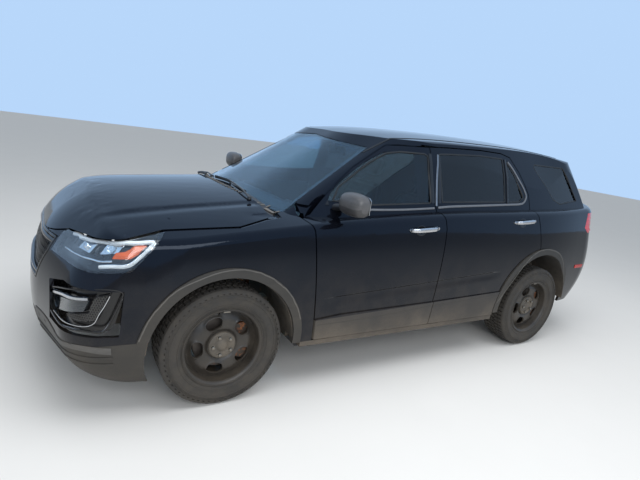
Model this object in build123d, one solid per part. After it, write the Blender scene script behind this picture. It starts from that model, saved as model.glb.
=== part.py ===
"""A mid-size police SUV, built from separate panels, glass, running gear and cabin pieces.

Millimetres. While the pieces are modelled, x runs forward from the front axle, y to the
vehicle's left and z up from the ground. Each piece is moved to the vehicle's middle when
it is written, so the model's origin is the centre of its footprint, on the ground.
"""
from build123d import *
from math import cos, radians, sin, sqrt, tan
from functools import cache
import os

# Driving dimensions
WHEELBASE = 2860
FRONT_OVERHANG = 950
REAR_OVERHANG = 1190
HALF_TRACK = 851
TYRE_R = 363
TYRE_W = 245
RIM_R = 228.6
RIM_FLANGE_R = 241
RIM_W = 222
WHEEL_OFFSET = 44
AXLE_Z = TYRE_R
FRONT_AXLE_X = (REAR_OVERHANG + WHEELBASE - FRONT_OVERHANG) / 2

# Wall thicknesses, from the outer skin inwards
PANEL = 24
DOOR_LOW, DOOR_HIGH = 56, 32
JAMB_LOW, JAMB_HIGH = 66, 48
SIDE_LOW, SIDE_HIGH = 108, 74
GLASS = 5
GLASS_DEPTH = 5

# Shut lines and running gaps
SHUT_GAP = 8
EDGE_GAP = 6
SEAT_GAP = 0.3

# Wheel arches as x, z and opening radius; mouldings and cladding stand proud of the skin
FRONT_ARCH = (0, 362, 437)
REAR_ARCH = (-2850, 402, 462)
MOULDING_W = 56
PROUD = 10
LINER = 5

# Steering axis: ball joint and strut top, as y and z
BALL_Y, BALL_Z = 800, 250
TOP_Y, TOP_Z = 610, 970

# Lower body, plan outline at each height. Columns: z, nose x, front corner x y,
# side y at the front axle, amidships and the rear axle, rear corner x y, tail x
LOWER_ROWS = (
    (150, 760, 560, 820, 925, 930, 920, -3560, 830, -3880),
    (400, 938, 770, 930, 972, 966, 960, -3650, 870, -4010),
    (650, 948, 770, 938, 984, 980, 978, -3780, 885, -4050),
    (900, 875, 670, 925, 972, 982, 985, -3775, 883, -4000),
    (1150, 610, 420, 885, 938, 958, 962, -3730, 860, -3960),
    (1400, 200, 50, 800, 860, 890, 895, -3640, 800, -3900),
)
LOWER_RADII = (1300, 300, 1000, 20000, 6000, 380, 700)
# Hood crown and waistline. Columns: x, z at the middle, z at the shoulder
WAIST_ROWS = (
    (1100, 1050, 895),
    (300, 1160, 1002),
    (-500, 1208, 1105),
    (-1300, 1255, 1188),
    (-2100, 1290, 1230),
    (-2900, 1310, 1260),
    (-3700, 1325, 1280),
    (-4500, 1335, 1295),
)
SHOULDER_R = 60
# Greenhouse, columns as the lower body's, with the second side point's own x
UPPER_ROWS = (
    (1060, -150, -300, 808, -780, 945, 965, 952, -3610, 935, -4005),
    (1430, -700, -884, 672, -1180, 808, 818, 797, -3425, 800, -3800),
    (1800, -1250, -1470, 535, -1650, 632, 640, 617, -3230, 635, -3490),
)
UPPER_RADII = (1500, 120, 1200, 20000, 6000, 260, 800)
# Roof. Columns: x, z at the middle, y and z of the cant rail
ROOF_ROWS = (
    (100, 1310, 780, 1250),
    (-500, 1500, 760, 1430),
    (-1100, 1662, 732, 1618),
    (-1700, 1722, 722, 1674),
    (-2300, 1742, 722, 1692),
    (-2900, 1742, 715, 1688),
    (-3500, 1706, 698, 1645),
    (-4100, 1640, 680, 1570),
)
RAIL_R = 90

# Side outlines as x and z on the skin
FRONT_DOOR = (
    (-588, 345), (-498, 1130), (-512, 1172), (-985, 1496), (-1165, 1594), (-1300, 1612),
    (-1508, 1626), (-1530, 1260), (-1586, 1080), (-1586, 345),
)
REAR_DOOR = (
    (-1594, 345), (-1594, 1080), (-1538, 1262), (-1516, 1628), (-1720, 1640), (-2060, 1654),
    (-2310, 1652), (-2420, 1630), (-2520, 1520), (-2625, 1350), (-2640, 1215), (-2745, 930),
    (-2745, 345),
)
FRONT_WINDOW = (
    (-690, 1215), (-1000, 1210), (-1496, 1240), (-1490, 1570), (-1463, 1583), (-1272, 1576),
    (-1161, 1552), (-1002, 1465), (-753, 1300),
)
REAR_WINDOW = (
    (-1608, 1250), (-2322, 1278), (-2326, 1618), (-2060, 1621), (-1720, 1602), (-1592, 1592),
)
DOOR_QUARTER_WINDOW = ((-2350, 1280), (-2500, 1286), (-2554, 1322), (-2459, 1494), (-2368, 1602))
CARGO_WINDOW = (
    (-2762, 1606), (-2745, 1575), (-3000, 1320), (-3110, 1285), (-3400, 1322), (-3185, 1606),
)
FRONT_APERTURE = (
    (-680, 420), (-660, 1090), (-720, 1250), (-1020, 1440), (-1180, 1540), (-1300, 1560),
    (-1455, 1570), (-1480, 1250), (-1530, 1080), (-1530, 420),
)
REAR_APERTURE = (
    (-1645, 420), (-1645, 1080), (-1578, 1262), (-1548, 1576), (-2060, 1604), (-2380, 1590),
    (-2540, 1350), (-2570, 1200), (-2640, 1000), (-2300, 600), (-2250, 420),
)
# Inner edge of the front door's frame as y and z, beside the windshield pillar
PILLAR_EDGE = ((600, 1900), (628, 1590), (675, 1430), (820, 1130), (820, 0))
HOOD_LINE = (
    (1100, 860), (905, 880), (764, 955), (352, 1032), (-60, 1062), (-240, 1096), (-330, 1110),
    (-330, 1300), (1100, 1300),
)
LAMP_SIDE = ((345, 1026), (764, 948), (905, 872), (905, 826), (682, 826), (515, 846), (384, 995))
CLADDING_LINE = ((-480, 478), (-770, 506), (-1567, 525), (-2400, 556), (-2400, 300), (-480, 300))

DOOR_SLANT = 14
DOOR_HINGE_Y = 955
FRONT_HINGE_X, REAR_HINGE_X = -633, -1640
HINGE_HEIGHTS = (520, 930)
HINGE_PIN_R, HINGE_EYE_R = 5, 12
HOOD_HINGE = (-455, 1065)
LIFTGATE_HINGE = (-3434, 1700)
# Room in the pillars for the doors' front edges to swing into. Columns: z, radius
FRONT_POCKET = ((335, 80), (1036, 161), (1040, 200), (1130, 200), (1262, 202))
REAR_POCKET = (
    (335, 82), (430, 82), (434, 73), (1085, 73), (1180, 104), (1262, 167), (1400, 215), (1640, 322),
)
# The front door's inner corner is rounded off ahead of its hinge at this radius, from z to z
DOOR_CORNER_R, DOOR_CORNER_Z = 194, (1020, 1140)
LIFTGATE_HINGE_Y = 250
PLATE_X, PLATE_Z = -3990, 1010
PLATE_HOLE_Y, PLATE_HOLE_R = 88.9, 3.5
LIFTGATE_Y = 655
LIFTGATE_TOP_X = -3418
BUMPER_TOP_Z = 738
# Lifting pads under the sills
JACK_X, JACK_Z = (-760, -2150), 288

WINDSHIELD = ((0, 1152), (732, 1114), (565, 1571), (0, 1608))
REAR_WINDOW_REAR = ((0, 1268), (588, 1268), (520, 1622), (0, 1622))
FENDER_SIDE = (
    (-600, 335), (-600, 1180), (345, 1180), (345, 1026), (384, 995), (515, 846), (402, 640),
    (402, 335),
)
BUMPER_SIDE = ((380, 466), (1100, 440), (1100, 940), (345, 940))
VALANCE_SIDE = ((400, 190), (1100, 190), (1100, 439), (380, 465))
GRILLE_FRONT = ((0, 640), (400, 640), (470, 820), (480, 900), (0, 900))
FOG_SIDE = ((565, 505), (860, 505), (860, 700), (800, 745), (545, 745))
FOG_INNER_Y = 590
TAIL_LAMP_SIDE = ((-3500, 1090), (-3540, 1225), (-4100, 1240), (-4100, 1040), (-3580, 1040))
ROOF_Y = 589
HOOD_TO_GLASS = 95
LAMP_INNER_Y = 490
GRILLE_ROWS = 5
VALANCE_TOP_Z = 466
HUB_R = 30
POST_FRONT_X, POST_INNER_Y = -500, 742
FENDER_INNER_Y = 736


def rounded_face(points, radii):
    """A closed outline of straight runs joined by tangent arcs, square where a radius is 0."""
    corners = []
    for i, point in enumerate(points):
        here = Vector(point)
        if not radii[i]:
            corners.append((here, None, here))
            continue
        back, ahead = Vector(points[i - 1]) - here, Vector(points[(i + 1) % len(points)]) - here
        half = radians(back.get_angle(ahead)) / 2
        reach = min(radii[i] / tan(half), 0.47 * back.length, 0.47 * ahead.length)
        radius = reach * tan(half)
        back, ahead = back.normalized(), ahead.normalized()
        middle = here + (back + ahead).normalized() * (radius / sin(half) - radius)
        corners.append((here + back * reach, middle, here + ahead * reach))
    edges = []
    for i, (start, middle, end) in enumerate(corners):
        if middle:
            edges.append(ThreePointArc(start, middle, end))
        edges.append(Line(end, corners[(i + 1) % len(corners)][0]))
    return Face(Wire(edges))


def plan_section(z, side, nose, tail, radii, inset):
    """The left half of a plan outline. It crosses the middle square, so the halves join smoothly."""
    points = [(nose - inset, 0, z), (nose - inset, 300, z)]
    points += [(x, y - inset * share, z) for x, y, share in side]
    points += [(tail + inset, 440, z), (tail + inset, 0, z)]
    return rounded_face(points, (0, radii[0]) + radii[1:] + (0,))


@cache
def lower_half(inset=0):
    """The lower body's left half, its skin moved inwards by inset, cut along hood and waist."""
    sections = []
    for z, nose, cx, cy, front_y, mid_y, rear_y, rx, ry, tail in LOWER_ROWS:
        side = (
            (cx - 0.8 * inset, cy, 0.8), (cx - 350, front_y, 1), (-1400, mid_y, 1),
            (-3000, rear_y, 1), (rx + 0.8 * inset, ry, 0.8),
        )
        sections.append(plan_section(z, side, nose, tail, LOWER_RADII, inset))
    waist = []
    for x, middle_z, side_z in WAIST_ROWS:
        top, left = Vector(x, 0, middle_z - inset), Vector(x, 1100, side_z - 60 - inset)
        radius = (1100 ** 2 + (top.Z - left.Z) ** 2) / (2 * (top.Z - left.Z))
        rise = radius - sqrt(radius ** 2 - 550 ** 2)
        middle = Vector(x, 550, top.Z - rise)
        low_left, low_middle = (x, 1100, 100), (x, 0, 100)
        waist.append(Face(Wire([
            ThreePointArc(top, middle, left), Line(left, low_left),
            Line(low_left, low_middle), Line(low_middle, top),
        ])))
    body = loft(sections) & loft(waist)
    if inset:
        return body
    top = body.faces().filter_by(lambda face: face.normal_at().Z > 0.7).sort_by(Axis.Z)[-1]
    shoulder = [edge for edge in top.edges() if edge.center().Y > 700 and edge.length > 60]
    return fillet(shoulder, SHOULDER_R)


@cache
def upper_half(inset=0):
    """The left half of the greenhouse and roof, its skin moved inwards by inset."""
    sections = []
    for z, nose, cx, cy, fx, fy, mid_y, rear_y, rx, ry, tail in UPPER_ROWS:
        side = (
            (cx - 0.5 * inset, cy, 0.8), (fx, fy, 1), (-2200, mid_y, 1),
            (-2900, rear_y, 1), (rx + 0.8 * inset, ry, 0.8),
        )
        sections.append(plan_section(z, side, nose, tail, UPPER_RADII, inset))
    roof = []
    for x, middle_z, rail_y, rail_z in ROOF_ROWS:
        points = (
            (x, 0, middle_z - inset), (x, 300, middle_z - inset - 4),
            (x, rail_y - inset, rail_z - inset), (x, rail_y - inset + 230, rail_z - 700 - inset),
            (x, 0, rail_z - 700 - inset),
        )
        roof.append(rounded_face(points, (0, 3000, RAIL_R, 0, 0)))
    return loft(sections) & loft(roof)


def overlap(shape, region):
    one, other = shape.bounding_box(), region.bounding_box()
    return one.min.Z < other.max.Z and other.min.Z < one.max.Z and one.min.X < other.max.X and (
        other.min.X < one.max.X)


def wall(region, low, high=None):
    """The part of the body's left wall inside a region, low thick below the waist, high above it."""
    halves = ((lower_half, low), (upper_half, low if high is None else high))
    near = [(half, depth) for half, depth in halves if overlap(half(), region)]
    skins = [half() & region for half, _ in near]
    block = skins[0] + skins[1:] if skins[1:] else skins[0]
    return block - [half(depth) for half, depth in near]


def layer(body, region, outer, inner):
    """The left half of a sheet between two depths below the skin, inside a region."""
    return (body(outer) & region) - body(inner)


def outline(points, near_y=-10, far_y=1200):
    """A prism across the vehicle with a side view outline."""
    face = Face(Wire.make_polygon([Vector(x, near_y, z) for x, z in points], close=True))
    return extrude(face, far_y - near_y, Vector(0, 1, 0))


def side_y(z):
    return 960 if z < 1140 else 936 - 0.448 * (z - 1140)


def slanted(points, grow=0):
    """A left side prism whose outer edge leans back, so that a door swings out of it."""
    lean = tan(radians(DOOR_SLANT))
    near_y, far_y = 350, 1150
    at_near = [Vector(x + (side_y(z) - near_y) * lean, near_y, z) for x, z in points]
    face = Face(Wire.make_polygon(at_near, close=True))
    if grow:
        face = make_face(offset(face, grow, kind=Kind.INTERSECTION).edges())
    return extrude(face, (far_y - near_y) / cos(radians(DOOR_SLANT)), Vector(-lean, 1, 0).normalized())


def door_region(corner, grow=0):
    """The space of one left door. Ahead of the window the front door stops at the pillar's edge."""
    if corner == "rear":
        return slanted(REAR_DOOR, grow)
    edge = [(y - grow, z) for y, z in PILLAR_EDGE]
    return slanted(FRONT_DOOR, grow) & front_view([(1200, 0), (1200, 1900)] + edge, -1750, -100)


def front_view(points, x0, x1):
    """A prism along the vehicle with a front view outline."""
    face = Face(Wire.make_polygon([Vector(x0, y, z) for y, z in points], close=True))
    return extrude(face, x1 - x0, Vector(1, 0, 0))


def box(x0, x1, y0, y1, z0, z1):
    return Pos((x0 + x1) / 2, (y0 + y1) / 2, (z0 + z1) / 2) * Box(x1 - x0, y1 - y0, z1 - z0)


def bar_y(x, z, radius, y0, y1):
    """A round bar across the vehicle."""
    return Pos(x, (y0 + y1) / 2, z) * Rot(90, 0, 0) * Cylinder(radius, y1 - y0)


def tube(points, radius, bends):
    """A round tube along straight runs joined by tangent arcs."""
    path = FilletPolyline(*points, radius=bends)
    start = Plane(origin=path @ 0, z_dir=path % 0)
    return sweep(start * Circle(radius), path)


def rod(start, end, radius):
    start, end = Vector(start), Vector(end)
    return extrude(Plane(start, z_dir=end - start) * Circle(radius), (end - start).length)


def arch(place, extra, y0, y1):
    x, z, radius = place
    return bar_y(x, z, radius + extra, y0, y1)


def mirrored(shape):
    return mirror(shape, about=Plane.XZ)


def whole(half):
    """A piece that crosses the middle, from its left half."""
    return half + mirrored(half)


def write(name, *shapes):
    solids = [solid for shape in shapes for solid in shape.solids()]
    moved = [solid.moved(Location((FRONT_AXLE_X, 0, 0))) for solid in solids]
    export_step(moved[0] if len(moved) == 1 else Compound(children=moved), f"parts/{name}.step")


def write_pair(name, *shapes):
    """A left piece and its mirror image in one node each, named by side."""
    write(name.replace("SIDE", "left"), *shapes)
    write(name.replace("SIDE", "right"), *[mirrored(shape) for shape in shapes])


# Body panels

def build_doors():
    for corner, windows in (
        ("front", (FRONT_WINDOW,)), ("rear", (REAR_WINDOW, DOOR_QUARTER_WINDOW)),
    ):
        region = door_region(corner)
        panes = layer(upper_half, region, GLASS_DEPTH, GLASS_DEPTH + GLASS)
        glass = [panes & slanted(window, -SEAT_GAP) for window in windows]
        hinge_x = FRONT_HINGE_X if corner == "front" else REAR_HINGE_X
        cuts = [slanted(window) for window in windows]
        cuts += [
            box(hinge_x - 27, hinge_x + 160, 820, DOOR_HINGE_Y + 14, z - 20, z + 20)
            for z in HINGE_HEIGHTS
        ]
        if corner == "rear":
            cuts.append(arch(REAR_ARCH, MOULDING_W + SHUT_GAP, 300, 1200))
        else:
            cuts.append(
                box(hinge_x + 40, 0, 700, 900, *DOOR_CORNER_Z)
                - Pos(hinge_x, DOOR_HINGE_Y, 1080) * Cylinder(DOOR_CORNER_R, 400)
            )
        cladding = layer(lower_half, region & outline(CLADDING_LINE, 300), -PROUD, PANEL)
        door = (wall(region, DOOR_LOW, DOOR_HIGH) + cladding) - cuts
        door += [Pos(hinge_x, DOOR_HINGE_Y, z) * Cylinder(HINGE_PIN_R, 60) for z in HINGE_HEIGHTS]
        write_pair(f"{corner}_SIDE_door", door)
        write_pair(f"{corner}_SIDE_door_glass", *glass)


def hinge_pocket(x, rows):
    points = [(0, rows[0][0])] + [(radius, z) for z, radius in rows] + [(0, rows[-1][0])]
    face = Face(Wire.make_polygon([Vector(x + r, DOOR_HINGE_Y, z) for r, z in points], close=True))
    return revolve(face, Axis((x, DOOR_HINGE_Y, 0), (0, 0, 1)))


def hinge_strap(x, z, pocket_r):
    """A fixed hinge strap, from the pillar behind a door's pocket out to the pin."""
    inner_y = DOOR_HINGE_Y - pocket_r - 14
    strap = box(x - 8, x + 8, inner_y, DOOR_HINGE_Y, z - 12, z + 12)
    strap += box(x - 8, x + 70, inner_y, inner_y + 18, z - 12, z + 12)
    strap += Pos(x, DOOR_HINGE_Y, z) * Cylinder(HINGE_EYE_R, 24)
    return strap - Pos(x, DOOR_HINGE_Y, z) * Cylinder(HINGE_PIN_R + 0.05, 60)


def build_body_side():
    """Pillars, roof rail and rear quarter in one pressing, with the doors' rebates."""
    posts = [
        box(-640, POST_FRONT_X, POST_INNER_Y, 1100, 300, 1170) & lower_half(JAMB_LOW),
        box(-640, POST_FRONT_X, POST_INNER_Y, 1100, 1080, 1250) & upper_half(PANEL),
    ]
    side = wall(box(-3760, -480, 590, 1200, 300, 1800), SIDE_LOW, SIDE_HIGH) + posts
    cuts = [
        door_region(corner, SHUT_GAP) - [lower_half(JAMB_LOW), upper_half(JAMB_HIGH)]
        for corner in ("front", "rear")
    ]
    cuts += [slanted(points) for points in (FRONT_APERTURE, REAR_APERTURE, CARGO_WINDOW)]
    cuts += [
        outline(FENDER_SIDE, 300) - [lower_half(PANEL), upper_half(PANEL)],
        hinge_pocket(FRONT_HINGE_X, FRONT_POCKET), hinge_pocket(REAR_HINGE_X, REAR_POCKET),
        front_view(WINDSHIELD, -1400, 0), outline(TAIL_LAMP_SIDE, LIFTGATE_Y, 1200),
        arch(REAR_ARCH, MOULDING_W + SEAT_GAP, 300, 1200),
        box(POST_FRONT_X, 0, 300, 1200, 0, 1130),
        box(-4200, -3300, 0, 1200, 0, BUMPER_TOP_Z),
        box(-4200, LIFTGATE_TOP_X + 12, 0, LIFTGATE_Y + EDGE_GAP, 0, 1900),
        box(-760, -480, 0, POST_INNER_Y, 0, 1100),
    ]
    for cut in cuts:
        side -= cut
    straps = [box(x - 40, x + 40, 885, 925, JACK_Z, 304) for x in JACK_X]
    for hinge_x, rows in ((FRONT_HINGE_X, FRONT_POCKET), (REAR_HINGE_X, REAR_POCKET)):
        for z in HINGE_HEIGHTS:
            (low_z, low_r), (high_z, high_r) = rows[:2]
            straps.append(hinge_strap(hinge_x, z, low_r + (high_r - low_r) * (z - low_z) / (high_z - low_z)))
    side += straps
    side = side.solids().sort_by(SortBy.VOLUME)[-1]
    write_pair("SIDE_body_side", side)
    pane = layer(upper_half, slanted(CARGO_WINDOW, -SEAT_GAP), GLASS_DEPTH, GLASS_DEPTH + GLASS)
    write("cargo_side_glass", pane, mirrored(pane))


def build_roof_and_glass():
    opening = front_view(WINDSHIELD, -1400, 0)
    roof = wall(box(LIFTGATE_TOP_X + 12, -800, 0, ROOF_Y, 1480, 1800), DOOR_HIGH) - opening
    hx, hz = LIFTGATE_HINGE
    y = LIFTGATE_HINGE_Y
    roof += box(hx, LIFTGATE_TOP_X + 14, y - 12, y + 12, hz - 10, hz + 4) + bar_y(hx, hz, 7, y - 12, y + 12)
    roof -= bar_y(hx, hz, 3.05, y - 20, y + 20)
    write("roof", whole(roof))
    inner = front_view(((0, 1152.3), (731.7, 1114.3), (564.7, 1570.7), (0, 1607.7)), -1400, 0)
    write("windshield", whole(layer(upper_half, inner, GLASS_DEPTH, GLASS_DEPTH + GLASS)))


def build_liftgate():
    region = box(-4200, LIFTGATE_TOP_X, 0, LIFTGATE_Y, BUMPER_TOP_Z + EDGE_GAP, 1900)
    gate = wall(region, DOOR_LOW, DOOR_HIGH)
    opening = front_view(REAR_WINDOW_REAR, -4200, -3450)
    glass = layer(upper_half, opening, GLASS_DEPTH, GLASS_DEPTH + GLASS)
    glass &= box(-4200, -3450, 0, 586, 1268, 1622)
    gate -= opening
    hx, hz = LIFTGATE_HINGE
    gate -= box(hx - 12, LIFTGATE_TOP_X + 1, LIFTGATE_HINGE_Y - 18, LIFTGATE_HINGE_Y + 18, hz - 20, hz + 30)
    gate += bar_y(hx, hz, 3, LIFTGATE_HINGE_Y - 24, LIFTGATE_HINGE_Y + 24)
    gate += box(PLATE_X, PLATE_X + 40, 0, 160, PLATE_Z - 78, PLATE_Z + 78)
    gate -= rod((PLATE_X - 20, PLATE_HOLE_Y, PLATE_Z), (PLATE_X + 80, PLATE_HOLE_Y, PLATE_Z), PLATE_HOLE_R)
    write("liftgate", whole(gate))
    write("liftgate_glass", whole(glass))


def build_front():
    hood_region = outline(HOOD_LINE)
    hood = wall(hood_region, PANEL) - Pos(HOOD_TO_GLASS, 0, 0) * upper_half()
    hood = hood.solids().sort_by(SortBy.VOLUME)[-1]
    hx, hz = HOOD_HINGE
    arm = box(hx - 8, hx + 8, 752, 764, hz - 128, hz) + box(hx - 8, -258, 752, 764, hz - 128, hz - 112)
    arm += box(-274, -258, 752, 764, hz - 128, 1200) & lower_half(4)
    arm += bar_y(hx, hz, 14, 752, 764)
    arm -= bar_y(hx, hz, 6.05, 740, 780)
    write("hood", whole(hood + arm))
    around_hood = outline([(x - (2 * EDGE_GAP if x == -330 else 0), z - EDGE_GAP) for x, z in HOOD_LINE])
    lamp_region = outline(LAMP_SIDE, LAMP_INNER_Y, 1200)

    fender = wall(outline(FENDER_SIDE, FENDER_INNER_Y), PANEL) - around_hood - slanted(FRONT_DOOR, SHUT_GAP)
    fender -= arch(FRONT_ARCH, MOULDING_W + SEAT_GAP, 300, 1200)
    fender -= [lamp_region, box(-322, 0, 700, 772, 900, 1200)]
    fender = fender.solids().sort_by(SortBy.VOLUME)[-1]
    write_pair("SIDE_fender", fender)

    lamp = wall(lamp_region, DOOR_LOW) - Pos(0, 0, -EDGE_GAP / 2) * hood_region
    lamp = lamp.solids().sort_by(SortBy.VOLUME)[-1]
    write("headlamps", lamp, mirrored(lamp))

    cover = wall(outline(BUMPER_SIDE), PANEL)
    cover -= outline(FENDER_SIDE, 300)
    cover -= arch(FRONT_ARCH, MOULDING_W + SEAT_GAP, 300, 1200)
    cover -= lamp_region + around_hood
    grille_hole = front_view(GRILLE_FRONT, 500, 1200)
    fog_hole = outline(FOG_SIDE, FOG_INNER_Y, 1200)
    cover -= grille_hole
    cover -= fog_hole
    cover = cover.solids().sort_by(SortBy.VOLUME)[-1]
    write("front_bumper", whole(cover))

    inside = front_view([(y - SEAT_GAP if y else 0, z) for y, z in GRILLE_FRONT], 500, 1200)
    plate = layer(lower_half, inside, 8, PANEL) - around_hood
    first_z = GRILLE_FRONT[0][1] + 26
    plate -= [box(500, 1200, 0, 400, first_z + row * 44, first_z + row * 44 + 26) for row in range(GRILLE_ROWS)]
    write("grille", whole(plate))

    fog = layer(lower_half, outline(FOG_SIDE, FOG_INNER_Y + SEAT_GAP, 1200), PANEL, DOOR_LOW)
    fog &= outline([(x - 1, z + (1 if z < 600 else -1)) for x, z in FOG_SIDE], FOG_INNER_Y + 1, 1200)
    write("fog_lamps", fog, mirrored(fog))

    valance = wall(outline(VALANCE_SIDE), PANEL) - outline(BUMPER_SIDE)
    valance -= arch(FRONT_ARCH, 0, 300, 1200)
    valance = valance.solids().sort_by(SortBy.VOLUME)[-1]
    write("front_valance", whole(valance))

    cowl = layer(lower_half, box(-600, -150, 0, 735, 900, 1300), PANEL, DOOR_LOW) - upper_half()
    cowl -= around_hood - Pos(HOOD_TO_GLASS - 2 * EDGE_GAP, 0, 0) * upper_half()
    cowl = cowl.solids().sort_by(SortBy.VOLUME)[-1]
    write("cowl", whole(cowl))


def build_rear():
    bumper = wall(box(-4200, -3300, 0, 1200, 360, BUMPER_TOP_Z), PANEL)
    bumper -= arch(REAR_ARCH, MOULDING_W + SEAT_GAP, 300, 1200)
    bumper = bumper.solids().sort_by(SortBy.VOLUME)[-1]
    write("rear_bumper", whole(bumper))
    lamp_region = outline(TAIL_LAMP_SIDE, LIFTGATE_Y + EDGE_GAP, 1200)
    lamp = wall(lamp_region, DOOR_LOW, DOOR_HIGH)
    write("tail_lamps", lamp, mirrored(lamp))


def build_arches():
    pieces, liners = [], []
    for place, low_z, front_z in ((FRONT_ARCH, 338, VALANCE_TOP_Z + 1), (REAR_ARCH, 440, 362)):
        x, z, radius = place
        ring = arch(place, MOULDING_W, 500, 1200) - arch(place, 0, 500, 1200)
        ring -= box(x - 700, x, 300, 1200, 0, low_z) + box(x, x + 700, 300, 1200, 0, front_z)
        pieces.append(layer(lower_half, ring, -PROUD, PANEL))
        near_y = 722 if place is FRONT_ARCH else 640
        liner = arch(place, -SEAT_GAP, near_y, 966) - arch(place, -LINER - SEAT_GAP, near_y, 966)
        liner -= box(x - 700, x + 700, 300, 1200, -200, z + 20)
        if place is REAR_ARCH:
            inner_wall = arch(place, -SEAT_GAP, 634, 640) - box(x - 700, x + 700, 300, 1200, -200, z + 20)
            liner += inner_wall - box(-WHEELBASE - 45, -WHEELBASE + 45, 600, 700, 0, 480)
        liners.append(liner)
    write("arch_mouldings", *pieces, *[mirrored(piece) for piece in pieces])
    write("wheel_liners", *liners, *[mirrored(liner) for liner in liners])


# Wheels and suspension

def ring_from(profile):
    """A solid of revolution about the wheel's own y axis, from (radius, offset) points."""
    face = Face(Wire.make_polygon([Vector(r, w, 0) for r, w in profile], close=True))
    return revolve(face, Axis.Y)


RIM_PROFILE = (
    (241, -111), (241, -104), (229, -100), (229, -62), (210, -45), (210, 20), (229, 45),
    (229, 100), (241, 104), (241, 111), (235, 111), (223, 98), (223, 48), (204, 22),
    (204, -47), (223, -65), (223, -98), (235, -111),
)
DISC_PROFILE = (
    (0, 44), (88, 44), (108, 60), (158, 63), (188, 47), (206, 38), (224, 40), (224, 47), (206, 46),
    (192, 55),
    (160, 71), (104, 68), (84, 54), (0, 54),
)
CAP_PROFILE = ((0, 50), (74, 50), (74, 72), (64, 84), (0, 88))
ROTOR_PROFILE = ((0, 46), (80, 46), (80, 19), (160, 19), (160, -6), (80, -6), (70, -6), (70, 30), (0, 30))
TYRE_HALF = (
    (229.3, 84), (229.3, 99.3), (241.5, 103.2), (243, 112), (270, 120), (304, 122.5), (338, 117),
    (355, 104), (363, 70),
)
TYRE_INNER_HALF = ((350, 88), (304, 110), (246, 98))


def build_wheels():
    rim = ring_from(RIM_PROFILE) + ring_from(DISC_PROFILE) + ring_from(CAP_PROFILE)
    rim += ring_from(ROTOR_PROFILE) + bar_y(0, 0, HUB_R, -70, 31)
    for i in range(5):
        hole = Pos(0, 40, 0) * Rot(90, 0, 0) * extrude(SlotCenterToCenter(26, 50), -60)
        rim -= Rot(0, 23 + 72 * i, 0) * Pos(0, 0, 134) * hole
    low = [(r, -w) for r, w in reversed(TYRE_HALF)]
    inner_low = [(r, -w) for r, w in TYRE_INNER_HALF]
    tyre = ring_from(list(TYRE_HALF) + low + inner_low[::-1] + list(TYRE_INNER_HALF))
    for corner, x in (("front", 0), ("rear", -WHEELBASE)):
        place = Pos(x, HALF_TRACK, AXLE_Z)
        write_pair(f"{corner}_SIDE_wheel", place * rim)
        write_pair(f"{corner}_SIDE_tyre", place * tyre)


def carrier():
    """The hub carrier with the brake caliper, about the wheel centre."""
    body = bar_y(0, 0, 62, -106, -40) - bar_y(0, 0, HUB_R + 0.05, -200, 0)
    grip = bar_y(0, 0, 196, -32, 34) - bar_y(0, 0, 112, -60, 60)
    grip &= extrude(Plane.XZ * Face(Wire.make_polygon([(-40, -90), (-40, 90), (-260, 150), (-260, -150)])), 400, both=True)
    grip -= bar_y(0, 0, 166, -10, 23)
    arm = box(-180, -40, -50, -28, -50, 50) - bar_y(0, 0, 40, -200, 0)
    return body + (grip + arm - bar_y(0, 0, HUB_R + 0.05, -200, 0))


def build_suspension():
    ball, pivot = Vector(0, BALL_Y, BALL_Z), Vector(0, TOP_Y - BALL_Y, TOP_Z - BALL_Z).normalized()
    knuckle = Pos(0, HALF_TRACK, AXLE_Z) * carrier()
    knuckle += box(-28, 28, 770, 806, 266, 320) + rod(ball - pivot * 22, ball + pivot * 36, 9)
    knuckle += box(-26, 26, 690, 778, 405, 500)
    foot, top = Vector(0, 682, 450), Vector(0, TOP_Y, TOP_Z - 30)
    axis = (top - foot).normalized()
    seat = foot + axis * 312
    strut = rod(foot, foot + axis * 320, 27) + rod(foot, top, 11)
    strut += rod(seat, seat + axis * 8, 72) + rod(seat + axis * 8, seat + axis * 128, 60)
    knuckle += strut
    write_pair("SIDE_front_knuckle", knuckle)

    frame = box(-476, 790, 400, 480, 350, 450) + box(790, 820, -1, 540, 400, 500)
    frame += box(-110, 110, 460, 500, 400, 960) + box(-110, 110, 480, 700, 946, 976)
    frame += box(-60, 60, -1, 430, 300, 350) + box(-40, 40, 330, 780, 226, 256)
    frame += box(-40, 40, 330, 430, 226, 310) + box(-24, 24, 770, 822, 226, 256)
    frame -= rod(ball - pivot * 60, ball + pivot * 60, 9.05)
    write("front_frame", whole(frame))

    x = -WHEELBASE
    rear = Pos(x, HALF_TRACK, AXLE_Z) * carrier()
    rear += box(x - 40, x + 40, 300, 800, 262, 296) + box(x - 60, x + 60, -1, 340, 262, 340)
    rear += box(x - 40, x + 40, 745, 800, 280, 330)
    rear += box(x - 25, x + 25, 560, 780, 430, 460) + box(x - 25, x + 25, 740, 780, 380, 460)
    write("rear_suspension", whole(rear))


# Running gear

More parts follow.
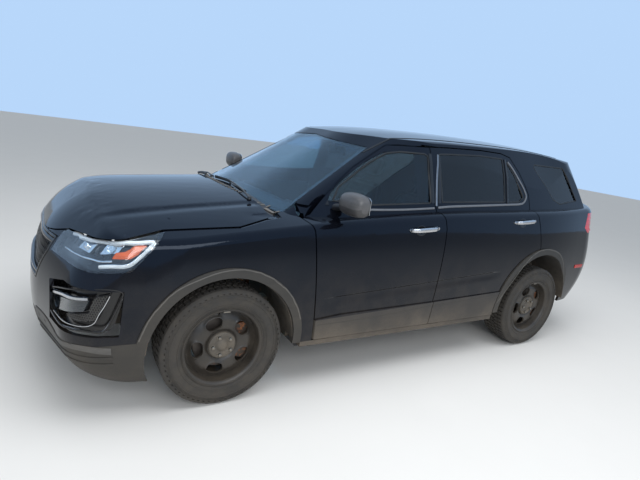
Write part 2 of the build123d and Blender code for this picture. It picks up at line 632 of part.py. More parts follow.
def build_driveline():
    engine = box(-170, 430, -330, 330, 470, 930) + box(-150, 250, -250, 250, 360, 470)
    engine += box(80, 180, -440, 440, 450, 500)
    write("engine", engine)
    rear_x = -WHEELBASE
    line = box(rear_x - 130, rear_x + 130, -120, 120, 340, 520)
    line += bar_y(rear_x, AXLE_Z + 10, 15, -730, 730)
    prop = Pos((rear_x + 130 - 150) / 2, 0, 400) * Rot(0, 90, 0) * Cylinder(32, abs(rear_x + 130) - 150)
    write("driveline", line + prop)
    pipe = tube([(-60, -230, 300), (-420, -230, 228), (-2950, -230, 228), (-3250, -330, 330)], 28, [60, 100])
    muffler = fillet(box(-3620, -3250, -420, 420, 270, 400).edges(), 40)
    tip = tube([(-3560, -390, 335), (-3700, -560, 330), (-3900, -560, 330)], 30, [60])
    tip_left = mirrored(tip)
    write("exhaust", pipe + muffler + tip + tip_left)
    tank = fillet(box(-2400, -1990, 155, 620, 210, 416).edges(), 30)
    write("fuel_tank", tank)


# Cabin

def build_cabin():
    floor_side = (
        (-500, 276), (-500, 300), (-1880, 300), (-1980, 440), (-2420, 440), (-2500, 560),
        (-3790, 700), (-3790, 676), (-2510, 536), (-2435, 416), (-1965, 416), (-1865, 276),
    )
    floor = outline(floor_side, 0, 900)
    floor -= box(-2600, 0, 0, 130, 0, 520)
    floor += box(-2600, -500, 0, 145, 440, 460) + box(-2600, -500, 130, 150, 290, 460)
    floor -= arch(REAR_ARCH, 2, 632, 1200) + box(-4000, -1860, 840, 1200, 0, 900)
    floor -= box(-4000, -3300, 600, 1200, 0, BUMPER_TOP_Z)
    floor -= box(JACK_X[0] - 40, JACK_X[0] + 40, 885, 925, 260, 310)
    floor = floor.solids().sort_by(SortBy.VOLUME)[-1]
    write("floor_pan", whole(floor))

    bulkhead = box(POST_FRONT_X, -476, 0, 800, 300, 1086) - box(-600, -400, 0, 130, 290, 450)
    hx, hz = HOOD_HINGE
    bulkhead += box(-476, hx, 766, 778, hz - 14, hz + 14) + bar_y(hx, hz, 14, 766, 778)
    bulkhead += bar_y(hx, hz, 6, 750, 778)
    write("bulkhead", whole(bulkhead))

    dash = outline(((-502, 790), (-502, 1060), (-640, 1090), (-860, 1030), (-930, 930), (-880, 800), (-700, 700)), -690, 690)
    write("dashboard", fillet(dash.edges().filter_by(Axis.Y), 25))

    wheel_plane = Plane(origin=(-1060, 370, 985), z_dir=(-0.9, 0, 0.44))
    ring = wheel_plane * Torus(182, 15)
    hub = extrude(wheel_plane * Circle(55), -60, both=False)
    hub += wheel_plane * Box(340, 34, 14) + wheel_plane * Pos(0, -80, 0) * Box(34, 180, 14)
    column = extrude(wheel_plane * Circle(24), -190)
    write("steering_wheel", (ring + hub + column) - dash)

    def seat(x, y, width, back_top):
        base = box(x - 470, x - 60, y - width / 2 + 40, y + width / 2 - 40, 300 + SEAT_GAP, 540)
        cushion = fillet(box(x - 520, x, y - width / 2, y + width / 2, 540, 700).edges(), 45)
        back = fillet(box(x - 60, x + 60, y - width / 2, y + width / 2, -20, back_top).edges(), 45)
        back = Pos(x - 500, 0, 640) * Rot(0, -18, 0) * Pos(-x, 0, 0) * back
        return base + cushion + back
    left = seat(-1130, 370, 510, 640)
    head = fillet(box(-60, 60, 240, 500, 0, 190).edges(), 40)
    left += Pos(-1858, 0, 1278) * Rot(0, -14, 0) * head
    left += rod((-1812, 310, 1220), (-1862, 310, 1310), 7) + rod((-1812, 430, 1220), (-1862, 430, 1310), 7)
    write("front_seats", left, mirrored(left))
    bench = fillet(box(-2480, -1990, -620, 620, 580, 720).edges(), 45)
    bench += box(-2400, -2020, -560, 560, 460 + SEAT_GAP, 590)
    bench += box(-2400, -2020, 160, 560, 440 + SEAT_GAP, 470) + box(-2400, -2020, -560, -160, 440 + SEAT_GAP, 470)
    back = fillet(box(-60, 60, -600, 600, -20, 620).edges(), 45)
    bench += Pos(-2470, 0, 690) * Rot(0, -16, 0) * back
    write("rear_bench", bench)


def build_mirrors():
    shell = fillet(box(-765, -640, 935, 1145, 1168, 1318).edges(), 48)
    foot = box(-745, -680, 790, 960, 1176, 1216)
    mirror_unit = (shell + foot) - [lower_half(), upper_half()]
    mirror_unit = mirror_unit.solids().sort_by(SortBy.VOLUME)[-1]
    write_pair("SIDE_mirror", mirror_unit)


def main():
    os.makedirs("parts", exist_ok=True)
    for build in (
        build_doors, build_body_side, build_roof_and_glass, build_liftgate, build_front,
        build_rear, build_arches, build_wheels, build_suspension, build_driveline,
        build_cabin, build_mirrors,
    ):
        build()


main()
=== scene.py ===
"""Looks of the police SUV: paint, plastics, glass, lamps, wheels and cabin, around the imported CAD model.

Metres, +X forward, +Y to the vehicle's left, +Z up, the origin on the ground under its middle.
Places are written as stations: x from the front axle, y and z as above, and at() moves them to the frame.
"""
import bpy
import bmesh
from math import copysign, cos, hypot, pi, radians, sin, sqrt
from mathutils import Matrix, Vector
from mathutils.bvhtree import BVHTree


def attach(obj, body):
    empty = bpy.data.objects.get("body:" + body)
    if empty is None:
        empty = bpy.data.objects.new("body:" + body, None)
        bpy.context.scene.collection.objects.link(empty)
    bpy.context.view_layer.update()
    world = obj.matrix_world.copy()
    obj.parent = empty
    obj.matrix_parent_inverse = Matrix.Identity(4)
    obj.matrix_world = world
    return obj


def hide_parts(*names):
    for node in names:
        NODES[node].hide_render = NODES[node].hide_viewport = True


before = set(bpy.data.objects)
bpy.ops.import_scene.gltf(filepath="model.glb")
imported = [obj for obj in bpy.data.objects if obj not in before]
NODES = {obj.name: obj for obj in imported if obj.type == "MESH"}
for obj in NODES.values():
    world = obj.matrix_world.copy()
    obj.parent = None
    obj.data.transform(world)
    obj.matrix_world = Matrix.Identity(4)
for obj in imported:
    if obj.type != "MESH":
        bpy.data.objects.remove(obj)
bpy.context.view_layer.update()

FRONT_AXLE_X = 1.550
WHEELBASE = 2.860
WHEEL_Y, WHEEL_Z = 0.851, 0.363
SIDES = (("left", 1), ("right", -1))

# Vertices of one mesh that lie nearer than this are one
MERGE = 0.00002


def at(x, y, z):
    """A place given from the front axle, in the frame."""
    return Vector((x + FRONT_AXLE_X, y, z))


def placed(name, data):
    """A new object in the scene."""
    item = bpy.data.objects.new(name, data)
    bpy.context.scene.collection.objects.link(item)
    return item


def spaced(a, b, count):
    """Even values from one number to another, both ends among them."""
    return [a + (b - a) * k / (count - 1) for k in range(count)]


def turns(count):
    """Even angles once round a circle."""
    return [2 * pi * k / count for k in range(count)]


def squared(a, power, other=None):
    """The cosine and sine of an angle raised to powers below one, for ovals with squarer corners."""
    c, s = cos(a), sin(a)
    return copysign(abs(c) ** power, c), copysign(abs(s) ** (other or power), s)


# Camera and studio

# The photograph's viewpoint: a station, the camera's heading, and its lens in pixels of the picture's width
CAMERA_PLACE = (0.8959, 3.2215, 1.6611)
CAMERA_YAW, CAMERA_PITCH, CAMERA_ROLL = -122.434, -13.742, 8.192
LENS_PIXELS, PICTURE_PIXELS, SENSOR_WIDTH = 457.25, 640, 36


def place_camera():
    """The photograph's viewpoint: ahead of the left front corner, a little above the roof's edge."""
    yaw, pitch, roll = radians(CAMERA_YAW), radians(CAMERA_PITCH), radians(CAMERA_ROLL)
    forward = Vector((cos(yaw) * cos(pitch), sin(yaw) * cos(pitch), sin(pitch)))
    level = Vector((sin(yaw), -cos(yaw), 0))
    up = level.cross(forward)
    right = level * cos(roll) + up * sin(roll)
    top = up * cos(roll) - level * sin(roll)
    camera = placed("camera", bpy.data.cameras.new("camera"))
    camera.data.sensor_width = SENSOR_WIDTH
    camera.data.lens = SENSOR_WIDTH * LENS_PIXELS / PICTURE_PIXELS
    camera.data.clip_start = 0.05
    turn = Matrix((right, top, -forward)).transposed().to_4x4()
    camera.matrix_world = Matrix.Translation(at(*CAMERA_PLACE)) @ turn
    bpy.context.scene.camera = camera


def softbox(name, place, target_z, size, power):
    """A soft rectangular lamp that looks at the vehicle's middle at a height."""
    data = bpy.data.lights.new(name, "AREA")
    data.shape, data.size, data.size_y = "RECTANGLE", size[0], size[1]
    data.energy = power
    lamp = placed(name, data)
    lamp.location = place
    lamp.rotation_euler = (Vector((0, 0, target_z)) - Vector(place)).to_track_quat("-Z", "Y").to_euler()
    return lamp


# The world as a fill light, and as the sky seen behind the vehicle, in its paint and through its glass
FILL_TINT, FILL_STRENGTH = (0.90, 0.95, 1.0), 0.55
SKY_TINT, SKY_STRENGTH = (0.48, 0.68, 0.96), 1.0


def light_studio():
    bpy.context.scene.view_settings.view_transform = "Standard"
    world = bpy.data.worlds.new("studio")
    world.use_nodes = True
    world.node_tree.nodes.clear()
    s = Wiring(world.node_tree)
    fill = s.node("ShaderNodeBackground", Color=FILL_TINT, Strength=FILL_STRENGTH)
    sky = s.node("ShaderNodeBackground", Color=SKY_TINT, Strength=SKY_STRENGTH)
    rays = s.node("ShaderNodeLightPath").outputs
    seen = s.math("MAXIMUM", rays["Is Camera Ray"], rays["Is Glossy Ray"])
    seen = s.math("MAXIMUM", seen, rays["Is Transmission Ray"])
    s.put(s.node("ShaderNodeOutputWorld").inputs["Surface"], s.mixed(seen, fill, sky))
    bpy.context.scene.world = world
    # The overhead lamp lights the paint but isn't mirrored in it
    softbox("overhead_softbox", (0.5, 1.5, 5.5), 0.6, (6, 4), 230).visible_glossy = False
    softbox("side_softbox", (2.0, 5.5, 3.0), 0.7, (4, 2.5), 110)


# Material building

class Wiring:
    """Short ways to add nodes to the tree of a material, a group, the world or a geometry modifier."""

    def __init__(self, tree):
        self.tree = tree

    def put(self, socket, value):
        if isinstance(value, bpy.types.NodeSocket):
            self.tree.links.new(value, socket)
        elif value is not None:
            socket.default_value = (*value, 1) if socket.type == "RGBA" and len(value) == 3 else value

    def fill(self, sockets, *values):
        for socket, value in zip(sockets, values):
            self.put(socket, value)

    def node(self, kind, settings=None, **values):
        node = self.tree.nodes.new(kind)
        for key, value in (settings or {}).items():
            setattr(node, key, value)
        for key, value in values.items():
            self.put(node.inputs[key.replace("_", " ")], value)
        return node

    def math(self, operation, a, b=None, clamp=False):
        node = self.node("ShaderNodeMath", {"operation": operation, "use_clamp": clamp})
        self.fill(node.inputs, a, b)
        return node.outputs[0]

    def place(self):
        return self.node("ShaderNodeTexCoord").outputs["Object"]

    def split(self, vector=None):
        node = self.node("ShaderNodeSeparateXYZ")
        self.put(node.inputs[0], self.place() if vector is None else vector)
        return node.outputs

    def noise(self, scale, detail=4.0, rough=0.6, stretch=None):
        vector = self.place()
        if stretch:
            vector = self.node("ShaderNodeMapping", Vector=vector, Scale=stretch).outputs[0]
        made = self.node("ShaderNodeTexNoise", Vector=vector, Scale=scale, Detail=detail, Roughness=rough)
        return made.outputs["Fac"]

    def cells(self, scale):
        return self.node("ShaderNodeTexVoronoi", Vector=self.place(), Scale=scale).outputs["Distance"]

    def remap(self, value, low, high, to_low=0.0, to_high=1.0, smooth=True):
        node = self.node("ShaderNodeMapRange", {"interpolation_type": "SMOOTHSTEP" if smooth else "LINEAR"})
        self.fill(node.inputs, value, low, high, to_low, to_high)
        return node.outputs[0]

    def blend(self, factor, a, b):
        """Colour a to colour b."""
        node = self.node("ShaderNodeMix", {"data_type": "RGBA"})
        self.fill((node.inputs[0], node.inputs[6], node.inputs[7]), factor, a, b)
        return node.outputs[2]

    def lerp(self, factor, a, b):
        """Number a to number b."""
        node = self.node("ShaderNodeMix")
        self.fill((node.inputs[0], node.inputs[2], node.inputs[3]), factor, a, b)
        return node.outputs[0]

    def mixed(self, factor, a, b):
        """Shader a to shader b."""
        node = self.node("ShaderNodeMixShader")
        self.fill(node.inputs, factor, a.outputs[0], b.outputs[0])
        return node.outputs[0]

    def bump(self, height, distance, strength=1.0, normal=None):
        node = self.node("ShaderNodeBump", Height=height, Distance=distance, Strength=strength, Normal=normal)
        return node.outputs[0]

    def group(self, name, **values):
        return self.node("ShaderNodeGroup", {"node_tree": bpy.data.node_groups[name]}, **values).outputs


def effect(name, inputs, outputs):
    """A new shader node group: its tools, its input sockets and a function that sets an output."""
    tree = bpy.data.node_groups.new(name, "ShaderNodeTree")
    for label, value in inputs.items():
        socket = tree.interface.new_socket(label, in_out="INPUT", socket_type="NodeSocketFloat")
        socket.default_value = value
    for label, kind in outputs.items():
        tree.interface.new_socket(label, in_out="OUTPUT", socket_type="NodeSocket" + kind)
    entry, leave = tree.nodes.new("NodeGroupInput"), tree.nodes.new("NodeGroupOutput")
    return Wiring(tree), entry.outputs, lambda label, socket: tree.links.new(socket, leave.inputs[label])


def build_effects():
    """The effects that several finishes share."""
    # Dust off gravel roads: thick low down, thin up to Reach, and caught on upward faces
    s, given, result = effect(
        "road_dust", {"Reach": 0.95, "Amount": 0.5, "Ledges": 0.3, "Patches": 5.0},
        {"Mask": "Float", "Tone": "Color"})
    low = s.remap(s.split()[2], given["Reach"], 0.1)
    facing_up = s.split(s.node("ShaderNodeNewGeometry").outputs["Normal"])[2]
    ledge = s.math("MULTIPLY", s.math("MAXIMUM", facing_up, 0.0), given["Ledges"])
    cloud = s.remap(s.noise(given["Patches"], 7, 0.62), 0.32, 0.72, 0.35, 1.0)
    fine = s.remap(s.noise(160, 3, 0.7), 0.3, 0.75, 0.7, 1.0)
    film = s.math("MULTIPLY", s.math("MULTIPLY", s.math("ADD", low, ledge), cloud), fine)
    result("Mask", s.math("MULTIPLY", film, given["Amount"], clamp=True))
    result("Tone", s.blend(s.noise(3.1, 5), (0.20, 0.155, 0.11), (0.33, 0.27, 0.20)))

    # The fine grain of moulded plastic
    s, given, result = effect("moulded_grain", {"Scale": 700.0}, {"Height": "Float", "Streak": "Float"})
    result("Height", s.math("MULTIPLY", s.cells(given["Scale"]), 0.7))
    result("Streak", s.remap(s.noise(9, 6, 0.7, stretch=(1, 1, 3)), 0.3, 0.7))

    # Rust that creeps out in patches
    s, given, result = effect(
        "rust_patches", {"Cover": 0.5, "Scale": 14.0}, {"Mask": "Float", "Tone": "Color", "Height": "Float"})
    edge = s.math("SUBTRACT", 0.82, s.math("MULTIPLY", given["Cover"], 0.62))
    result("Mask", s.remap(s.noise(given["Scale"], 9, 0.68), edge, s.math("ADD", edge, 0.1)))
    scale_tone = s.noise(60, 6, 0.7)
    result("Tone", s.blend(s.remap(scale_tone, 0.35, 0.65), (0.09, 0.028, 0.012), (0.36, 0.13, 0.045)))
    result("Height", scale_tone)

    # Threads over and under each other, on the two directions that a surface shows most
    s, given, result = effect("cloth_weave", {"Thread": 0.0011}, {"Height": "Float", "Fleck": "Float"})
    x, y, z = s.split()
    turn = s.math("DIVIDE", 2 * pi, given["Thread"])
    along = s.math("SINE", s.math("MULTIPLY", s.math("ADD", x, s.math("MULTIPLY", z, 0.9)), turn))
    across = s.math("SINE", s.math("MULTIPLY", y, turn))
    result("Height", s.math("MULTIPLY", along, across))
    result("Fleck", s.remap(s.noise(420, 2, 0.6), 0.3, 0.7))


MATERIALS = {}


def toned(base, factor):
    """A colour made darker or lighter, with no part above one."""
    return tuple(min(1, part * factor) for part in base)


def finish(name, base, rough, metallic=0.0, specular=0.5):
    """A new material with one Principled shader, its nodes' tools and that shader."""
    material = bpy.data.materials.new(name)
    material.use_nodes = True
    shader = material.node_tree.nodes["Principled BSDF"]
    s = Wiring(material.node_tree)
    for label, value in (("Base Color", base), ("Roughness", rough), ("Metallic", metallic),
                         ("Specular IOR Level", specular)):
        s.put(shader.inputs[label], value)
    MATERIALS[name] = material
    return s, shader


def dusty(s, shader, base, rough, reach, amount, ledges, patches=5.0):
    """Lays road dust over a base colour and roughness, either of which may be a socket."""
    dust = s.group("road_dust", Reach=reach, Amount=amount, Ledges=ledges, Patches=patches)
    s.put(shader.inputs["Base Color"], s.blend(dust["Mask"], base, dust["Tone"]))
    s.put(shader.inputs["Roughness"], s.lerp(dust["Mask"], rough, 0.85))
    return dust


def side_form(s):
    """Height of the doors' lower scallop: a hollow under a rising crease."""
    x, y, z = s.split()
    crease = s.remap(x, 0.95, -0.65, 0.632, 0.738, smooth=False)
    below = s.math("SUBTRACT", crease, z)
    hollow = s.math("MULTIPLY", s.remap(below, 0.0, 0.012), s.remap(below, 0.085, 0.02))
    ends = s.math("MULTIPLY", s.remap(x, 0.98, 0.80), s.remap(x, -0.78, -0.62))
    return s.math("MULTIPLY", s.math("MULTIPLY", hollow, ends), -1.0)


def make_paint(name, clad=False):
    """Black gloss paint with a blue tint that is painted sky reflection, and a brown film low down that is
    partly dust and partly painted ground reflection; clad adds the doors' scallop and the matt band along the
    sill.
    """
    # The blue in the base colours and in the specular tint is painted sky reflection
    s, shader = finish(name, (0.0026, 0.0034, 0.0062), 0.06, specular=0.28)
    s.put(shader.inputs["Specular Tint"], (0.70, 0.82, 1.0))
    base = s.blend(s.noise(2.0, 3), (0.0020, 0.0027, 0.0054), (0.0031, 0.0040, 0.0072))
    rough = s.remap(s.noise(7, 5), 0.3, 0.7, 0.045, 0.10)
    normal = s.bump(s.noise(55, 2, 0.4), 0.0003, 0.25)
    if clad:
        normal = s.bump(side_form(s), 0.006, 1.0, normal)
        x, y, z = s.split()
        line = s.remap(x, 1.07, -0.85, 0.479, 0.556, smooth=False)
        matt = s.remap(s.math("SUBTRACT", line, z), -0.001, 0.002)
        grain = s.group("moulded_grain", Scale=800.0)
        base = s.blend(matt, base, (0.038, 0.037, 0.036))
        rough = s.lerp(matt, rough, 0.62)
        normal = s.bump(s.math("MULTIPLY", grain["Height"], matt), 0.0004, 0.5, normal)
        low = s.group("road_dust", Reach=0.62, Amount=0.75, Ledges=0.3, Patches=4.0)
        base = s.blend(s.math("MULTIPLY", low["Mask"], matt), base, low["Tone"])
    # Brown film low down on the paint: partly road dust, partly painted reflection of the ground
    dusty(s, shader, base, rough, 1.02, 0.20, 0.02)
    s.put(shader.inputs["Normal"], normal)


def make_plastic(name, base, rough, amount=0.4, reach=0.9, scale=800.0, ledges=0.3):
    """Moulded plastic or rubber with a fine grain, streaks and dust."""
    s, shader = finish(name, base, rough)
    grain = s.group("moulded_grain", Scale=scale)
    tone = s.blend(grain["Streak"], toned(base, 0.8), toned(base, 1.25))
    worn = s.remap(grain["Streak"], 0.0, 1.0, rough - 0.05, rough + 0.06)
    dusty(s, shader, tone, worn, reach, amount, ledges)
    s.put(shader.inputs["Normal"], s.bump(grain["Height"], 0.0004, 0.5))


def make_glass(name, tint, lets=0.8, dirt=0.04):
    """Clear solid glass or lens: light from lamps passes it unbent, with its tint."""
    s, shader = finish(name, tint, 0.0)
    s.put(shader.inputs["Transmission Weight"], 1.0)
    s.put(shader.inputs["IOR"], 1.45)
    s.put(shader.inputs["Roughness"], s.remap(s.noise(11, 7, 0.65), 0.45, 0.85, 0.0, dirt))
    s.put(shader.inputs["Base Color"], s.blend(s.remap(s.noise(3, 4), 0.3, 0.7), tint, toned(tint, 0.93)))
    open_way = s.node("ShaderNodeBsdfTransparent", Color=toned(tint, lets))
    shadow = s.node("ShaderNodeLightPath").outputs["Is Shadow Ray"]
    s.put(s.tree.nodes["Material Output"].inputs["Surface"], s.mixed(shadow, shader, open_way))


def make_metal(name, base, rough, metallic=1.0, brush=(1, 1, 1), dust=0.15, reach=0.9, rust=0.0):
    """Bare or painted metal with rubbed marks, and patches of rust where rust is above zero."""
    s, shader = finish(name, base, rough, metallic)
    marks = s.noise(30, 6, 0.7, stretch=brush)
    tone = s.blend(s.remap(marks, 0.3, 0.7), toned(base, 0.82), base)
    rough_map = s.remap(marks, 0.25, 0.75, max(0.03, rough - 0.08), rough + 0.1)
    if rust:
        patches = s.group("rust_patches", Cover=rust, Scale=18.0)
        tone = s.blend(patches["Mask"], tone, patches["Tone"])
        rough_map = s.lerp(patches["Mask"], rough_map, 0.85)
        s.put(shader.inputs["Metallic"], s.lerp(patches["Mask"], metallic, 0.0))
        s.put(shader.inputs["Normal"], s.bump(patches["Height"], 0.0006, 0.6))
    dusty(s, shader, tone, rough_map, reach, dust, 0.2)


def make_fabric(name, base, thread=0.0011, sheen=0.25):
    """Woven cloth, or with a coarse thread and little sheen, vinyl or carpet."""
    s, shader = finish(name, base, 0.9)
    s.put(shader.inputs["Sheen Weight"], sheen)
    s.put(shader.inputs["Sheen Roughness"], 0.4)
    weave = s.group("cloth_weave", Thread=thread)
    worn = s.remap(s.noise(5, 5), 0.35, 0.7, 0.0, 0.35)
    tone = s.blend(weave["Fleck"], toned(base, 0.7), toned(base, 1.35))
    s.put(shader.inputs["Base Color"], s.blend(worn, tone, toned(base, 1.7)))
    s.put(shader.inputs["Roughness"], s.remap(weave["Height"], -1.0, 1.0, 0.95, 0.75))
    s.put(shader.inputs["Normal"], s.bump(weave["Height"], 0.0003, 0.7))


def make_tyre_rubber():
    s, shader = finish("tyre_rubber", (0.028, 0.027, 0.026), 0.8)
    mark = s.noise(26, 6, 0.7)
    base = s.blend(s.remap(mark, 0.3, 0.7), (0.020, 0.019, 0.018), (0.040, 0.037, 0.033))
    dusty(s, shader, base, s.remap(mark, 0.3, 0.7, 0.68, 0.9), 1.5, 0.16, 0.10, 9.0)
    s.put(shader.inputs["Normal"], s.bump(s.noise(420, 2, 0.5), 0.0005, 0.5))


def build_materials():
    make_paint("black_paint")
    make_paint("door_paint", clad=True)
    make_plastic("moulding_plastic", (0.026, 0.024, 0.021), 0.60, 0.22, 1.0)
    # Pale plastic for the arch beads: a painted highlight on the moulding's edge
    make_plastic("moulding_edge", (0.085, 0.082, 0.076), 0.55, 0.40, 1.0)
    make_plastic("valance_plastic", (0.080, 0.078, 0.075), 0.56, 0.30, 0.9)
    make_plastic("black_plastic", (0.012, 0.012, 0.013), 0.42, 0.25, 0.9)
    make_plastic("gloss_black", (0.006, 0.006, 0.007), 0.12, 0.12, 0.9, 300.0, 0.05)
    make_plastic("rubber_seal", (0.009, 0.009, 0.009), 0.55, 0.03, 1.0)
    make_plastic("weathered_cap", (0.075, 0.075, 0.078), 0.34, 0.12, 1.6, 500.0, 0.25)
    make_plastic("weathered_base", (0.040, 0.040, 0.042), 0.42, 0.12, 1.6, 500.0, 0.2)
    make_plastic("cowl_plastic", (0.11, 0.11, 0.108), 0.6, 0.4, 1.4, 600.0, 0.4)
    make_plastic("cabin_plastic", (0.022, 0.022, 0.024), 0.55, 0.06, 0.6, 900.0, 0.1)
    make_plastic("cabin_trim", (0.055, 0.053, 0.052), 0.6, 0.05, 0.6, 900.0, 0.1)
    make_plastic("screen_black", (0.004, 0.004, 0.005), 0.08, 0.02, 0.4, 400.0, 0.0)
    make_plastic("lamp_white", (0.52, 0.53, 0.54), 0.30, 0.05, 0.9, 500.0, 0.0)
    make_plastic("lamp_housing", (0.020, 0.022, 0.026), 0.20, 0.02, 0.9, 200.0, 0.0)
    make_plastic("amber_reflector", (0.52, 0.085, 0.010), 0.22, 0.0, 0.5, 260.0, 0.0)
    make_plastic("red_reflector", (0.42, 0.010, 0.008), 0.18, 0.10, 0.9, 260.0, 0.0)
    make_plastic("liner_felt", (0.020, 0.019, 0.018), 0.85, 0.75, 1.1, 300.0)
    make_plastic("glass_print", (0.008, 0.008, 0.009), 0.35, 0.0, 0.4, 400.0, 0.0)
    make_plastic("plate_white", (0.62, 0.62, 0.60), 0.35, 0.25, 1.2, 500.0)
    make_plastic("tank_plastic", (0.018, 0.018, 0.019), 0.5, 0.7, 0.9)
    # Front door glass: its dark tone is its own tint, its blue-green is painted sky reflection
    make_glass("front_glass", (0.15, 0.26, 0.33))
    # The windshield's strong blue tint is painted sky reflection
    make_glass("windshield_glass", (0.50, 0.74, 0.88))
    make_glass("privacy_glass", (0.035, 0.045, 0.055))
    make_glass("lamp_lens", (0.94, 0.97, 0.98), lets=0.95, dirt=0.03)
    make_plastic("red_lens", (0.55, 0.014, 0.012), 0.10, 0.05, 1.0, 220.0, 0.0)
    make_metal("handle_silver", (0.62, 0.62, 0.63), 0.25, brush=(1, 8, 8), dust=0.1)
    make_metal("bright_trim", (0.70, 0.70, 0.71), 0.2, dust=0.1)
    make_metal("worn_trim", (0.30, 0.30, 0.31), 0.38, dust=0.15, reach=1.5)
    make_metal("belt_trim", (0.20, 0.20, 0.205), 0.4, 0.6, dust=0.15, reach=1.5)
    make_metal("chrome", (0.85, 0.86, 0.88), 0.05, dust=0.02)
    make_metal("mirror_silver", (0.90, 0.91, 0.92), 0.02, dust=0.04)
    make_metal("wheel_paint", (0.013, 0.012, 0.011), 0.36, 0.0, dust=0.22, reach=1.3)
    make_metal("wheel_cap", (0.045, 0.043, 0.038), 0.5, 0.0, dust=0.55, reach=1.6)
    make_metal("nut_steel", (0.28, 0.25, 0.21), 0.45, dust=0.4, reach=1.2, rust=0.35)
    make_metal("rotor_steel", (0.10, 0.085, 0.075), 0.5, 0.6, dust=0.1, rust=0.35)
    make_metal("rusty_iron", (0.060, 0.048, 0.040), 0.7, 0.4, dust=0.3, rust=0.55)
    make_metal("chassis_black", (0.03, 0.03, 0.03), 0.6, 0.2, dust=0.7, rust=0.3)
    make_metal("engine_alloy", (0.42, 0.42, 0.41), 0.5, dust=0.3, rust=0.05)
    make_metal("exhaust_steel", (0.40, 0.36, 0.31), 0.42, dust=0.5, rust=0.35)
    make_metal("blade_steel", (0.10, 0.10, 0.10), 0.4, 0.6, dust=0.25, reach=2.0)
    make_fabric("seat_fabric", (0.030, 0.031, 0.034))
    make_fabric("seat_vinyl", (0.020, 0.020, 0.022), 0.004, 0.05)
    make_fabric("carpet", (0.018, 0.018, 0.020), 0.003, 0.3)
    make_fabric("headlining", (0.30, 0.29, 0.27), 0.0016, 0.1)
    make_tyre_rubber()


# Mesh building

def baked(item):
    """The mesh that an object's modifiers make of it."""
    return bpy.data.meshes.new_from_object(item.evaluated_get(bpy.context.evaluated_depsgraph_get()))


class Form:
    """A mesh in the making: vertices and faces, with a material number for each face."""

    def __init__(self):
        self.verts, self.faces, self.marks = [], [], []

    def add(self, verts, faces):
        start = len(self.verts)
        self.verts += [Vector(v) for v in verts]
        self.faces += [[start + i for i in face] for face in faces]
        self.marks += [0] * len(faces)
        return self

    def join(self, other):
        return self.add(other.verts, other.faces)

    def moved(self, matrix):
        copy = Form()
        copy.verts = [matrix @ v for v in self.verts]
        copy.faces = [list(face) for face in self.faces]
        copy.marks = list(self.marks)
        return copy

    def mirrored(self):
        copy = self.moved(Matrix.Diagonal((1, -1, 1, 1)))
        copy.faces = [face[::-1] for face in copy.faces]
        return copy

    def mesh(self, name):
        mesh = bpy.data.meshes.new(name)
        mesh.from_pydata([tuple(v) for v in self.verts], [], self.faces)
        return mesh


def piece(name, form, materials, body, sharp=40, subdivide=0, bevel=0.0, replaces=()):
    """Makes a finished piece of the vehicle from a form and lets it ride on a body."""
    mesh = form.mesh(name)
    for material in ([materials] if isinstance(materials, str) else materials):
        mesh.materials.append(MATERIALS[material])
    for polygon, mark in zip(mesh.polygons, form.marks):
        polygon.material_index = mark
    work = bmesh.new()
    work.from_mesh(mesh)
    bmesh.ops.remove_doubles(work, verts=work.verts, dist=MERGE)
    bmesh.ops.recalc_face_normals(work, faces=work.faces)
    work.to_mesh(mesh)
    work.free()
    item = placed(name, mesh)
    if bevel:
        modifier = item.modifiers.new("rounded", "BEVEL")
        modifier.width, modifier.segments, modifier.limit_method = bevel, 2, "ANGLE"
        modifier.angle_limit = radians(35)
    if subdivide:
        modifier = item.modifiers.new("smooth", "SUBSURF")
        modifier.levels = modifier.render_levels = subdivide
    if bevel or subdivide:
        mesh = item.data = baked(item)
        item.modifiers.clear()
    mesh.shade_smooth()
    mesh.set_sharp_from_angle(angle=radians(sharp))
    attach(item, body)
    for node in replaces:
        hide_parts(node)


def pair(name, form, materials, body, replaces=(), **settings):
    """The same piece on both sides: names have SIDE where the side's name goes."""
    for side, sign in SIDES:
        nodes = [node.replace("SIDE", side) for node in replaces]
        piece(name.replace("SIDE", side), form if sign > 0 else form.mirrored(), materials,
              body.replace("SIDE", side), replaces=nodes, **settings)


def smooth_path(points, steps=6, closed=False):
    """Points on a smooth curve through the given ones (plain tuples of any length)."""
    pts = [tuple(p) for p in points]
    count = len(pts)
    out = []
    for i in range(count if closed else count - 1):
        if closed:
            a, b, c, d = (pts[(i + k) % count] for k in (-1, 0, 1, 2))
        else:
            b, c = pts[i], pts[i + 1]
            a = pts[i - 1] if i else tuple(2 * q - r for q, r in zip(b, c))
            d = pts[i + 2] if i + 2 < count else tuple(2 * r - q for q, r in zip(b, c))
        for step in range(steps):
            t = step / steps
            out.append(tuple(
                0.5 * (2 * q + (r - p) * t + (2 * p - 5 * q + 4 * r - w) * t * t
                       + (3 * q - 3 * r + w - p) * t ** 3)
                for p, q, r, w in zip(a, b, c, d)))
    if not closed:
        out.append(pts[-1])
    return out


def even(points, count):
    """Points evenly spaced along a run of straight lines."""
    lengths = [0.0]
    for a, b in zip(points, points[1:]):
        lengths.append(lengths[-1] + sqrt(sum((q - p) ** 2 for p, q in zip(a, b))))
    out, k = [], 0
    for i in range(count):
        want = lengths[-1] * i / (count - 1)
        while k < len(points) - 2 and lengths[k + 1] < want:
            k += 1
        span = lengths[k + 1] - lengths[k]
        t = (want - lengths[k]) / span if span else 0
        out.append(tuple(p + (q - p) * t for p, q in zip(points[k], points[k + 1])))
    return out


def between_ends(a, b, count):
    """Points evenly spaced from one place to another, as tuples."""
    return [tuple(p + (q - p) * k / (count - 1) for p, q in zip(a, b)) for k in range(count)]


